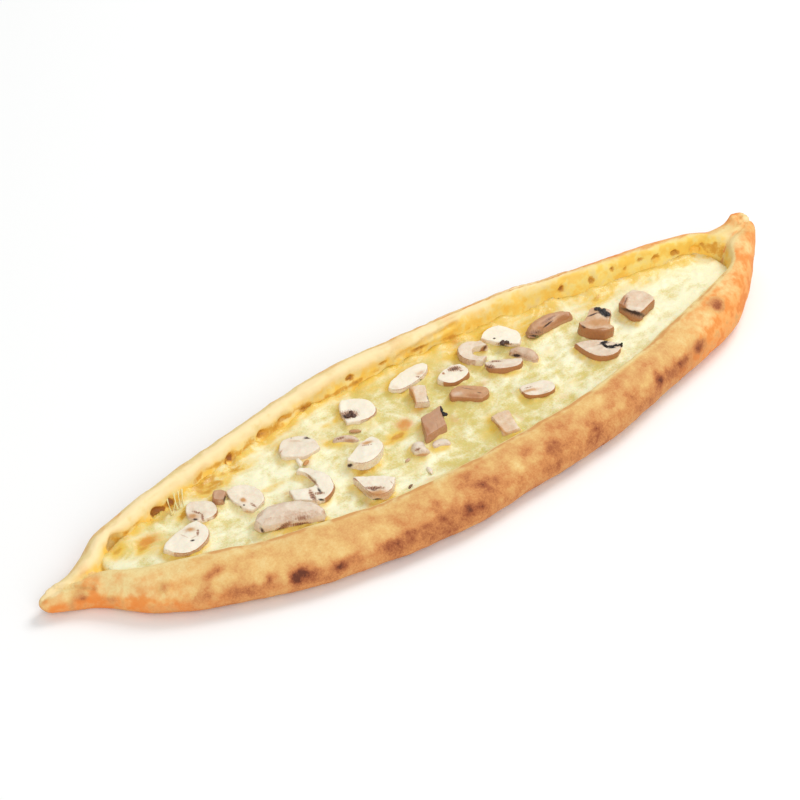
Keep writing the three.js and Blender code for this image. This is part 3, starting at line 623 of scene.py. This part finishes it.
def make_crust():
    """The bread with its hand-rolled unevenness, creases, pits, browning and painted shade in its hollows."""
    crust = copy_of("crust", "crust_baked")
    apply(crust, "SUBSURF", levels=2, render_levels=2)
    points, normals = refine(crust, CRUST_GRAIN, 4)
    x, y, z = points.T
    inner_back = ease(-normals[:, 1], 0.1, 0.5) * (y > middle_line(x)) * ease(z, 9, 14)
    rise = layered(points, (0.6, 24, 3.1), (0.4, 9, 8.7), (0.14, 3.4, 5.5))
    rise += inner_back * layered(points, (1.4, 12, 5.9), (0.7, 5, 1.4))
    for path, depth, half_width in CREASES:
        away = distance_to_path(points, path)
        bank = fade(away - BANK_PLACE * half_width, half_width)
        rise += depth * (CREASE_BANK * bank - fade(away, half_width))
    for place, reach, height in TIP_LOBES:
        rise += height * around(points, place, reach)
    pits = np.zeros(len(points))
    for along, height, long, tall in PITS:
        pits = np.maximum(pits, inner_back * spot(x - along, z - height, long / 2, tall / 2))
    raised = ease(z, 0.4, 4.0)
    fold, lift, half_width = CLOSED_FOLD
    lifted = lift * fade(distance_to_path(points, fold), half_width)
    moved = points + normals * (raised * rise - PIT_DEPTH * pits)[:, None]
    place_points(crust, moved + np.outer(lifted, (0, 0, 1)))
    brown_crust(crust, pits)
    finish_piece(crust, "crust", crust_finish())


class Rims:
    """Where each point of the crust lies on its rims, and how the dough faces there."""

    def __init__(self, crust):
        self.points, normals = points_of(crust), normals_of(crust)
        self.x, y, self.z = self.points.T
        front, back, front_crest, back_crest = edges_along(self.points)
        self.from_edge = np.minimum(y - front, back - y)
        self.at_front = y < middle_line(self.x)
        self.low = 1 - self.z / np.where(self.at_front, front_crest, back_crest)
        self.outwards = np.where(self.at_front, -normals[:, 1], normals[:, 1])
        self.downwards = -normals[:, 2]
        self.far_wall = ~self.at_front * ease(self.x, -10, 90)
        inwards = ease(-self.outwards, -0.3 * self.far_wall, 0.45 - 0.25 * self.far_wall)
        self.in_trough = inwards * (self.z > 9) * ease(self.from_edge, 6, 12) * ease(212 - self.x, 0, 12)
        self.patchy = layered(self.points, (0.55, 17, 1.9), (0.4, 7, 4.4), (0.25, 3, 2.3))


def toasted(rims):
    """How browned the rims and the underside are."""
    places, *tones = zip(*RIM_TOAST)
    front_pale, front_start, back_pale, back_start = [np.interp(rims.x, places, tone) for tone in tones]
    pale = np.where(rims.at_front, front_pale, back_pale)
    starts = np.where(rims.at_front, front_start, back_start)
    browned = 0.58 * ease(rims.low + 0.2 * rims.patchy, starts, starts + 0.36)
    sides = np.maximum(pale * (1 + rims.patchy), browned * (1 + 0.25 * rims.patchy))
    underside = ease(rims.downwards, 0.3, 0.8) * (0.62 + 0.3 * rims.patchy)
    return np.maximum(ease(rims.outwards, -0.35, 0.1) * sides, underside)


def scorched(rims):
    """How dark the scorched spots are."""
    ragged = np.clip(1 + layered(rims.points, (0.7, 6, 7.7), (0.3, 2.8, 3.3)), 0, None)
    scorch = np.zeros(len(rims.points))
    for *place, reach_along, reach_up, strength in SCORCHES:
        gap = rims.points - np.array(place)
        across = np.hypot(gap[:, 1], gap[:, 2])
        scorch += strength * spot(gap[:, 0], across, reach_along, reach_up) * ragged
    return scorch


def creased(rims):
    """How much browner the dough is in its creases."""
    brown = np.zeros(len(rims.points))
    for path, depth, half_width in CREASES:
        brown += 0.22 * depth * fade(distance_to_path(rims.points, path), half_width)
    return brown


def tinted(rims, scorch, crest_line):
    """How orange and how pale the dough is."""
    outside = ease(rims.outwards, -0.25, 0.15)
    upturned = ease(rims.x, 90, 180) * outside * (0.58 + 0.42 * ease(rims.low, 0.02, 0.35))
    upturned *= np.where(rims.at_front, 1, 0.55)
    slim = ease(-rims.x, 130, 200) * outside * rims.at_front * (0.34 + 0.3 * ease(rims.low, 0.1, 0.5))
    blush = ease(layered(rims.points, (1, 26, 4.7), (0.3, 8, 9.9)), -0.1, 0.35)
    blush *= ease(rims.outwards, -0.2, 0.3) * ~rims.at_front * ease(60 - rims.x, 0, 90)
    orange = upturned + slim + 0.35 * blush + 0.7 * crest_line
    pale = ~rims.at_front * ease(0.35 - rims.low, 0, 0.3) * ease(170 - rims.x, 0, 120)
    pale *= ease(0.5 - rims.outwards, 0, 0.3) * (1 - 0.6 * blush)
    for tint, *place, reach, strength in TINTS:
        amount = strength * around(rims.points, place, reach)
        if tint == "orange":
            orange = np.maximum(orange, amount)
            pale *= 1 - amount
        else:
            pale = np.maximum(pale, amount)
    return orange * (1 - pale) * (1 - 0.8 * ease(scorch, 0.06, 0.3)), pale


def oiled(rims):
    """How much oil lies on the inside of the rims: more low down, and most on the far wall."""
    far_wall = rims.far_wall
    high = (0.58 + 0.42 * far_wall) * ease(rims.low, -0.02 - 0.08 * far_wall, 0.2 - 0.1 * far_wall)
    deep = (0.75 + 0.25 * far_wall) * ease(rims.low, 0.12, 0.35)
    return rims.in_trough * np.maximum(high, deep)


def browned_lip(rims):
    """Where the front rim's inner edge is browned, in broken stretches."""
    broken = ease(layered(rims.points, (1, 21, 9.1), (0.4, 6, 2.8)), -0.4, 0.2)
    lip = fade(rims.outwards + 0.3, 0.22) * ease(-rims.low, -0.2, -0.05) * rims.at_front
    return lip * broken * ease(220 - np.abs(rims.x), 10, 60)


def painted_crevice_shade(rims):
    """Where a crevice is painted as shade along the far wall just above the cheese, deepest near the slim
    end.
    """
    level = CHEESE_LEVEL + CHEESE_RISE * ease(rims.x, *CHEESE_CLIMB)
    deep = fade(rims.x + 80, 35)
    gaps = rough(rims.points * np.array((0.5, 1, 1)), 4.5, 6.6)
    crevice = ease(gaps + 0.3 * deep, 0.0, 0.35) * ~rims.at_front * rims.in_trough
    crevice *= fade(rims.z - level - CREVICE_SHADE_RISE, 1.7 + 1.2 * deep)
    return crevice * ease(100 - rims.x, 0, 60) * ease(rims.x, -190, -180)


def painted_hollow_shade(rims, pits):
    """How dark the painted shade is in the pits, the crevice and the burst bubbles."""
    cave = np.maximum(0.8 * pits, 0.52 * painted_crevice_shade(rims))
    ragged = 1 + layered(rims.points, (0.5, 4.5, 1.2), (0.4, 2.2, 5.2))
    for along, height, long, tall, dark in POCKETS:
        out = np.hypot((rims.x - along) / (long / 2), (rims.z - height) / (tall / 2)) * ragged
        inside = (1 - ease(out, 0.6, 1.1)) * ~rims.at_front * ease(rims.from_edge, 3, 6)
        cave = np.maximum(cave, dark * inside)
    return cave


def brown_crust(crust, pits):
    """Work out where the crust is toasted, tinted or oily, and where its hollows get painted shade, for its
    finish to read.
    """
    rims = Rims(crust)
    scorch = scorched(rims)
    crest_line = spot(rims.outwards - 0.55, rims.low, 0.3, 0.12) * ~rims.at_front * ease(rims.x, -30, 70)
    orange, pale = tinted(rims, scorch, crest_line)
    keep(crust, "toast", toasted(rims) + scorch + creased(rims) + 0.35 * crest_line * (1 + rims.patchy))
    keep(crust, "orange", orange)
    keep(crust, "pale", pale)
    keep(crust, "oil", oiled(rims) * (1 - 0.5 * pale))
    keep(crust, "lip", browned_lip(rims))
    # Painted shade in the crust's hollows.
    keep(crust, "cave", painted_hollow_shade(rims, pits))


GREENISH_YELLOW = colour(216, 198, 116)
MILKY_WHITE = colour(249, 246, 210)
OIL_YELLOW = colour(234, 192, 62)
OIL_AMBER = colour(200, 140, 34)
TOASTED_CHEESE = colour(216, 142, 60)


def cheese_finish():
    """Melted cheese: cloudy white over greenish yellow, with oil, painted shadow beside the mushrooms and
    toasted places.
    """
    material, shader, start = new_finish(
        "melted_cheese", roughness=0.38, specular_ior_level=0.28, subsurface_weight=0.1,
        subsurface_scale=3 * MM,
    )
    patches = clouds(start, 10.0, 3.0) - 0.5
    streaks = clouds(start, 3.2, 3.0, (0.6, 1.0, 1.0)) - 0.5
    fine = clouds(start, 0.9, 2.0) - 0.5
    white = between(kept(start, "white") + patches * 1.3 + streaks * 0.7 + fine * 0.7, 0.05, 0.95)
    base = mixed(GREENISH_YELLOW, MILKY_WHITE, white)
    uneven = patches * 2.4 + streaks * 1.8 + fine * 0.8
    # This mask holds oil and also the painted shadow and contact shade beside the mushroom pieces.
    oil = broken_up(kept(start, "oil"), uneven)
    base = mixed(base, OIL_YELLOW, oil * 0.85)
    base = mixed(base, OIL_AMBER, between(kept(start, "oil") + streaks, 0.8, 1.1) * 0.8)
    base = mixed(base, TOASTED_CHEESE, between(kept(start, "toast") * (1 + uneven), 0.0, 1.2) * 0.9)
    connect(shader, "Base Color", base)
    connect(shader, "Roughness", 0.4 - oil * 0.16 + streaks * 0.2)
    bumped(shader, patches * 0.4 + streaks * 0.7 + fine * 0.5, 0.5, 0.6)
    return material


CHEESE_GRAIN = 0.78
# How far toward the key light, in mm, a place looks for a mushroom piece to lie in its painted shadow.
SHADE_SIDE = 1.8
POCKET_DIP = 2.0
SHRED_COUNT = 700
BUBBLE_COUNT = 260
# Where the shreds and bubbles lie along and across the bread, in mm, and the seed of their draws.
SCATTER_ALONG = (-190, 200)
SCATTER_ACROSS = (-45, 58)
SCATTER_SEED = 7


def shred_ridges(x, y, draw):
    """Melted shreds of cheese, as ridges from 0 to 1."""
    ridge = np.zeros(len(x))
    for _ in range(SHRED_COUNT):
        along, turn = draw.uniform(*SCATTER_ALONG), draw.gauss(0, 0.7)
        across, long, wide = draw.uniform(*SCATTER_ACROSS), draw.uniform(4, 12), draw.uniform(0.8, 1.7)
        near = np.flatnonzero((np.abs(x - along) < long + 3) & (np.abs(y - across) < long + 3))
        u, v = turned(x[near] - along, y[near] - across, turn)
        v += 0.05 * u * u * draw.uniform(-1, 1)
        ridge[near] = np.maximum(ridge[near], np.exp(-((u / long) ** 4) - (v / wide) ** 2))
    return ridge


def bubble_domes(x, y, draw):
    """Small bubbles under the skin of the cheese, as heights."""
    dome = np.zeros(len(x))
    for _ in range(BUBBLE_COUNT):
        along, across = draw.uniform(*SCATTER_ALONG), draw.uniform(*SCATTER_ACROSS)
        reach = draw.uniform(0.6, 1.7)
        gap = np.hypot(x - along, y - across) / reach
        dome = np.maximum(dome, reach * np.sqrt(np.clip(1 - gap ** 2, 0, None)))
    return dome


def strongest_spot(x, y, spots):
    """The strongest of a table's spots at each place."""
    strongest = np.zeros(len(x))
    for along, across, long, wide, strength in spots:
        strongest = np.maximum(strongest, strength * spot(x - along, y - across, long, wide))
    return strongest


def away_from_mushrooms(x, y, mushroom_points):
    """How far each place is from the nearest mushroom seen from above, and the same from its shaded side."""
    tree = kdtree.KDTree(len(mushroom_points))
    for index, point in enumerate(mushroom_points):
        tree.insert((point[0], point[1], 0), index)
    tree.balance()
    return [
        np.array([tree.find((px + right, py, 0))[2] for px, py in zip(x.tolist(), y.tolist())])
        for right in (0, SHADE_SIDE)
    ]


def climb_at_walls(points, front, back, far_wall):
    """How far the cheese is drawn up at the crust, less its dip at the burst bubbles of the slim half."""
    x, y, _ = points.T
    edge = np.minimum(back - y, y - front)
    at_back = back - y < y - front
    climb_back = np.maximum(2.2 + 3.0 * rough(points, 9, 3.8), 0.2 + 1.4 * far_wall)
    climb_front = 1.4 + 1.2 * rough(points, 8, 3.8)
    climb = np.clip(np.where(at_back, climb_back, climb_front), 0.2, 4.5) * np.exp(-edge / (3 + far_wall))
    dip = np.zeros(len(points))
    for along, _, long, _, dark in POCKETS:
        if along < 0:
            opened = dark * at_back * fade(x - along, 0.6 * long)
            climb *= 1 - opened
            dip += POCKET_DIP * opened * fade(edge, 4)
    return climb - dip


def make_cheese(mushroom_points, finish):
    """The filling with blisters, shreds and bubbles, drawn up against the crust and the mushrooms."""
    cheese = copy_of("cheese_filling", "cheese_melted")
    points, normals = refine(cheese, CHEESE_GRAIN, 5)
    x, y, _ = points.T
    front, back, _, _ = edges_along(points)
    far_wall = ease(x, -10, 70)
    draw = random.Random(SCATTER_SEED)
    ridge = shred_ridges(x, y, draw)
    dome = bubble_domes(x, y, draw)
    away, shaded = away_from_mushrooms(x, y, mushroom_points)
    oil = 0.72 * fade(back - y, 5 + 4 * far_wall) + 0.35 * fade(y - front, 3)
    oil = np.maximum(oil, strongest_spot(x, y, OIL_POOLS))

    broad = layered(points, (0.6, 12, 4.9), (0.4, 5, 1.6))
    rise = 0.45 * broad + 0.14 * rough(points, 2.5, 6.1) + 0.3 * ridge + 0.2 * dome
    rise += strongest_spot(x, y, BLISTERS) - 0.4 * oil
    rise += (1.8 + 0.8 * rough(points, 5, 7.2)) * fade(away, 2)
    rise += climb_at_walls(points, front, back, far_wall)
    top = ease(normals[:, 2], 0.2, 0.7)
    spread = (1.5 + 2.0 * far_wall) * ease(np.hypot(normals[:, 0], normals[:, 1]), 0.1, 0.5)
    moved = points + np.outer(top * rise, (0, 0, 1)) + normals * np.array((1, 1, 0)) * spread[:, None]
    place_points(cheese, moved)

    whiter = np.interp(x, *zip(*CHEESE_WHITENESS))
    keep(cheese, "white", 0.45 + 0.5 * broad + 0.2 * ridge + whiter)
    # Oil, with painted shadow beside each mushroom piece on its side away from the light, and all round each
    # piece a thin halo that is partly oil and partly painted contact shade.
    keep(cheese, "oil", oil + 0.4 * fade(shaded, 2.2) + 0.15 * fade(away, 2))
    keep(cheese, "toast", strongest_spot(x, y, TOASTED))
    finish_piece(cheese, "cheese_filling", finish)
    return moved


FLESH = colour(246, 237, 216)
TAN = colour(206, 150, 92)
GREYISH_PINK = colour(182, 140, 118)
BROWN_SKIN = colour(178, 120, 76)
GILL = colour(170, 126, 98)
DEEP_GILL = colour(104, 72, 58)
DARK_BROWN = colour(64, 42, 34)
CHARRED = colour(36, 30, 30)


def mushroom_finish():
    """Cooked mushroom: pale flesh, brown skin, dark gills and burnt edges."""
    material, shader, start = new_finish(
        "mushroom", roughness=0.45, specular_ior_level=0.4, subsurface_weight=0.06, subsurface_scale=2 * MM,
    )
    soft = clouds(start, 4.0, 3.0) - 0.5
    fibre = clouds(start, 0.8, 3.0) - 0.5
    tone = between(kept(start, "tan") + soft * 0.5 + fibre * 0.3, 0.0, 1.0)
    base = mixed(FLESH, TAN, tone)
    base = mixed(base, GREYISH_PINK, kept(start, "pink") * (0.7 + soft * 0.8))
    base = mixed(base, BROWN_SKIN, between(kept(start, "skin") + fibre * 0.4, 0.2, 0.8))
    gill = kept(start, "gill") * (1 + fibre * 2.0)
    base = mixed(base, GILL, between(gill, 0.05, 0.4))
    base = mixed(base, DEEP_GILL, between(gill, 0.35, 0.9))
    base = mixed(base, DARK_BROWN, between(kept(start, "dark") * (1 + fibre), 0.1, 0.7))
    base = mixed(base, CHARRED, between(kept(start, "char") + fibre * 0.4, 0.3, 0.7))
    connect(shader, "Base Color", base)
    connect(shader, "Roughness", 0.5 - kept(start, "skin") * 0.15 + fibre * 0.2)
    bumped(shader, soft * 0.4 + fibre * 0.6, 0.4, 0.4)
    return material


MUSHROOM_GRAIN = 0.32
CRISP_EDGE = 0.6
GILL_SPACING = 1.1


def sharpen(piece):
    """Bring out the edge of a cut piece's upper face, as crisp as a knife leaves it."""
    points, normals = points_of(piece), normals_of(piece)
    upper = points[:, 2] > points[:, 2].max() - CRISP_EDGE
    outwards = normals[upper, :2]
    points[upper, :2] += CRISP_EDGE * outwards / np.linalg.norm(outwards, axis=1, keepdims=True)
    place_points(piece, points)


def marks_on(number, points, seed):
    """How strong each kind of mark is at each point of a mushroom piece."""
    seen = points[:, :2] + np.outer(points[:, 2] - MARK_LEVEL, MARK_SHIFT)
    marks = {kind: np.zeros(len(points)) for kind in MARKS}
    for kind, rows in MARKS.items():
        for _, x, y, long, wide, lie, strength in (row for row in rows if row[0] == number):
            along, across = turned(seen[:, 0] - x, seen[:, 1] - y, math.radians(lie))
            mark = strength * spot(along, across, long, wide)
            if kind == "gill":
                wander = along + 0.8 * rough(points, 2.5, seed)
                mark *= 0.75 + 0.25 * np.cos(2 * math.pi * wander / GILL_SPACING)
            marks[kind] = np.maximum(marks[kind], mark)
    return marks


def skin_on(form, turn, skin, points, normals):
    """How brown a mushroom piece is: skin on its dome side, a darker band along its foot and a thin line at
    its edge.
    """
    dome_way, _ = turned(normals[:, 0], normals[:, 1], math.radians(turn))
    if form == "hook":
        dome_way = -dome_way
    side = side_of(normals)
    domed = ease(dome_way, -0.1, 0.3) if form in ("slice", "whole", "curl", "hook") else 0.8
    foot = ease(points[:, 2].min() + 1.6 - points[:, 2], 0, 1.4) * side
    edge = ease(normals[:, 2], 0.3, 0.5) * (1 - ease(normals[:, 2], 0.8, 0.97))
    return skin * side * domed + 0.6 * foot + (0.1 + 0.35 * domed) * edge


def side_of(normals):
    """1 on a piece's sides and underside, 0 on its upper face."""
    return 1 - ease(normals[:, 2], 0.35, 0.75)


def make_mushroom(number, finish):
    """One mushroom piece: its rounded form, gill ridges and marks. Gives its points."""
    form, turn, tone, pink, skin = MUSHROOMS[number]
    node = f"mushroom_{form}_{number:02}"
    piece = copy_of(node, f"mushroom_{number:02}")
    if form not in ("bean", "bit"):
        sharpen(piece)
    points, normals = refine(piece, MUSHROOM_GRAIN, 3)
    seed = 10 + 3.3 * number
    marks = marks_on(number, points, seed)
    marks["skin"] = np.maximum(marks["skin"], skin_on(form, turn, skin, points, normals))
    marks["tan"] = np.maximum(1.1 * marks["tan"] + tone, 0.35 * side_of(normals) * (1 - marks["skin"]))
    uneven = layered(points, (0.7, 9, seed), (0.3, 4, seed + 2), (0.15, 1.8, seed + 5))
    uneven += marks["gill"] * (0.35 * rough(points, 0.9, seed + 9) - 0.35)
    uneven += 0.5 * marks["char"] * rough(points, 1.2, seed) - 0.5 * marks["dark"]
    place_points(piece, points + normals * uneven[:, None])
    keep(piece, "pink", np.full(len(points), pink))
    # Pale marks take the other marks back to bare flesh; on pieces 5 and 28 they are painted highlights.
    for kind in ("tan", "skin", "gill", "dark", "char"):
        keep(piece, kind, marks[kind] * (1 - 0.8 * marks["pale"]))
    finish_piece(piece, node, finish)
    return points


def joined(name, pieces):
    """Several pieces joined into one."""
    only(pieces[0])
    for piece in pieces:
        piece.select_set(True)
    bpy.ops.object.join()
    whole = bpy.context.active_object
    whole.name = name
    return whole


def lump(middle, reach, turn, seed):
    """A small uneven lump: its middle, how far it reaches along its own axes, and its turn in degrees."""
    bpy.ops.mesh.primitive_ico_sphere_add(subdivisions=3, radius=MM)
    piece = bpy.context.active_object
    ball = points_of(piece)
    long, wide, tall = (ball * np.array(reach) * (1 + 0.4 * rough(ball, 0.9, seed))[:, None]).T
    x, y = turned(long, wide, -math.radians(turn))
    place_points(piece, np.array(middle) + np.stack([x, y, tall], axis=1))
    return piece


UNDER_REACH = 1.2


def height_at(points, x, y):
    """How high a mesh stands at a place."""
    near = np.hypot(points[:, 0] - x, points[:, 1] - y) < UNDER_REACH
    return points[near, 2].max()


def finish_scrap(piece, tones, finish):
    """Give a small piece the same tones all over, and put it on the part."""
    for kind, value in tones.items():
        keep(piece, kind, np.full(len(piece.data.vertices), value))
    finish_piece(piece, None, finish)


def make_scraps(cheese_points, finish):
    """Small scraps of mushroom that lie on the cheese."""
    for index, (name, ((x, y), size, turn, tones)) in enumerate(SCRAPS.items()):
        long, wide, tall = size
        middle = (x, y, height_at(cheese_points, x, y) + 0.25 * tall)
        piece = lump(middle, (long / 2, wide / 2, tall / 2), turn, 2.1 + 5.3 * index)
        piece.name = name
        finish_scrap(piece, tones, finish)


BURNT_GRAIN = 0.22


def make_burnt(points_by_number, cheese_points, finish):
    """Burnt gill edges and crumbs on the mushroom pieces."""
    for number, places in BURNT.items():
        ground = np.concatenate([points_by_number[number], cheese_points])
        bits = []
        for index, (x, y, long, wide, up, turn) in enumerate(places):
            middle = (x, y, height_at(ground, x, y) + 0.2 * up)
            bits.append(lump(middle, (long, wide, up), turn, number + 4.7 * index))
        piece = joined(f"burnt_edge_{number}", bits)
        points, normals = refine(piece, BURNT_GRAIN, 0)
        ragged = layered(points, (0.35, 1.1, 4.2), (0.25, 0.5, 8.9))
        place_points(piece, points + normals * ragged[:, None])
        finish_scrap(piece, BURNT_TONE[number], finish)


STRING_STEPS = 10
STRING_SAG = 0.4


def make_strings(finish):
    """Strands of cheese drawn out between the back rim and the filling."""
    strands = []
    for top, end, thick in STRINGS:
        curve = bpy.data.curves.new("strand", "CURVE")
        curve.dimensions = "3D"
        curve.bevel_depth = thick / 2 * MM
        curve.bevel_resolution = 3
        curve.use_fill_caps = True
        spline = curve.splines.new("POLY")
        spline.points.add(STRING_STEPS)
        for index, point in enumerate(spline.points):
            share = index / STRING_STEPS
            sag = 4 * STRING_SAG * share * (1 - share)
            place = Vector(top).lerp(Vector(end), share) - Vector((0, 0, sag))
            point.co = (*(place * MM), 1.0)
            point.radius = 0.7 + 1.2 * (2 * share - 1) ** 2
        only(placed("strand", curve))
        bpy.ops.object.convert(target="MESH")
        strands.append(bpy.context.active_object)
    finish_scrap(joined("cheese_strings", strands), {"white": 0.4, "oil": 0.3}, finish)


def make_floor():
    """A plain pale floor."""
    bpy.ops.mesh.primitive_plane_add(size=FLOOR_SIZE)
    floor = bpy.context.active_object
    floor.name = "floor"
    material, shader, _ = new_finish("floor", roughness=0.7, specular_ior_level=0.2)
    shader.inputs["Base Color"].default_value = FLOOR_COLOUR
    floor.data.materials.append(material)


def soft_light(name, place, size, power):
    """A square light that faces the bread."""
    lamp = bpy.data.lights.new(name, "AREA")
    lamp.energy = power
    lamp.size = size
    light = placed(name, lamp)
    light.location = place
    light.rotation_euler = (-Vector(place)).to_track_quat("-Z", "Y").to_euler()


def make_studio():
    """The light and the camera."""
    soft_light("key_light", *KEY_LIGHT)
    soft_light("front_light", *FRONT_LIGHT)
    world = bpy.data.worlds.new("studio")
    world.use_nodes = True
    sky = world.node_tree.nodes["Background"]
    sky.inputs["Color"].default_value = (1, 1, 1, 1)
    sky.inputs["Strength"].default_value = SKY_STRENGTH
    scene = bpy.context.scene
    scene.world = world
    scene.view_settings.view_transform = "Standard"
    azimuth, elevation = math.radians(CAMERA_AZIMUTH), math.radians(CAMERA_ELEVATION)
    level = math.cos(elevation)
    back = Vector((math.sin(azimuth) * level, -math.cos(azimuth) * level, math.sin(elevation)))
    camera = placed("camera", bpy.data.cameras.new("camera"))
    camera.data.lens = CAMERA_LENS
    camera.data.clip_start = 0.05
    camera.location = Vector(CAMERA_TARGET) + back * CAMERA_DISTANCE
    camera.rotation_euler = (-back).to_track_quat("-Z", "Y").to_euler()
    scene.camera = camera


make_studio()
make_floor()
make_crust()
mushroom_look = mushroom_finish()
mushroom_points = {number: make_mushroom(number, mushroom_look) for number in MUSHROOMS}
cheese_look = cheese_finish()
cheese_points = make_cheese(np.concatenate(list(mushroom_points.values())), cheese_look)
make_strings(cheese_look)
make_scraps(cheese_points, mushroom_look)
make_burnt(mushroom_points, cheese_points, mushroom_look)
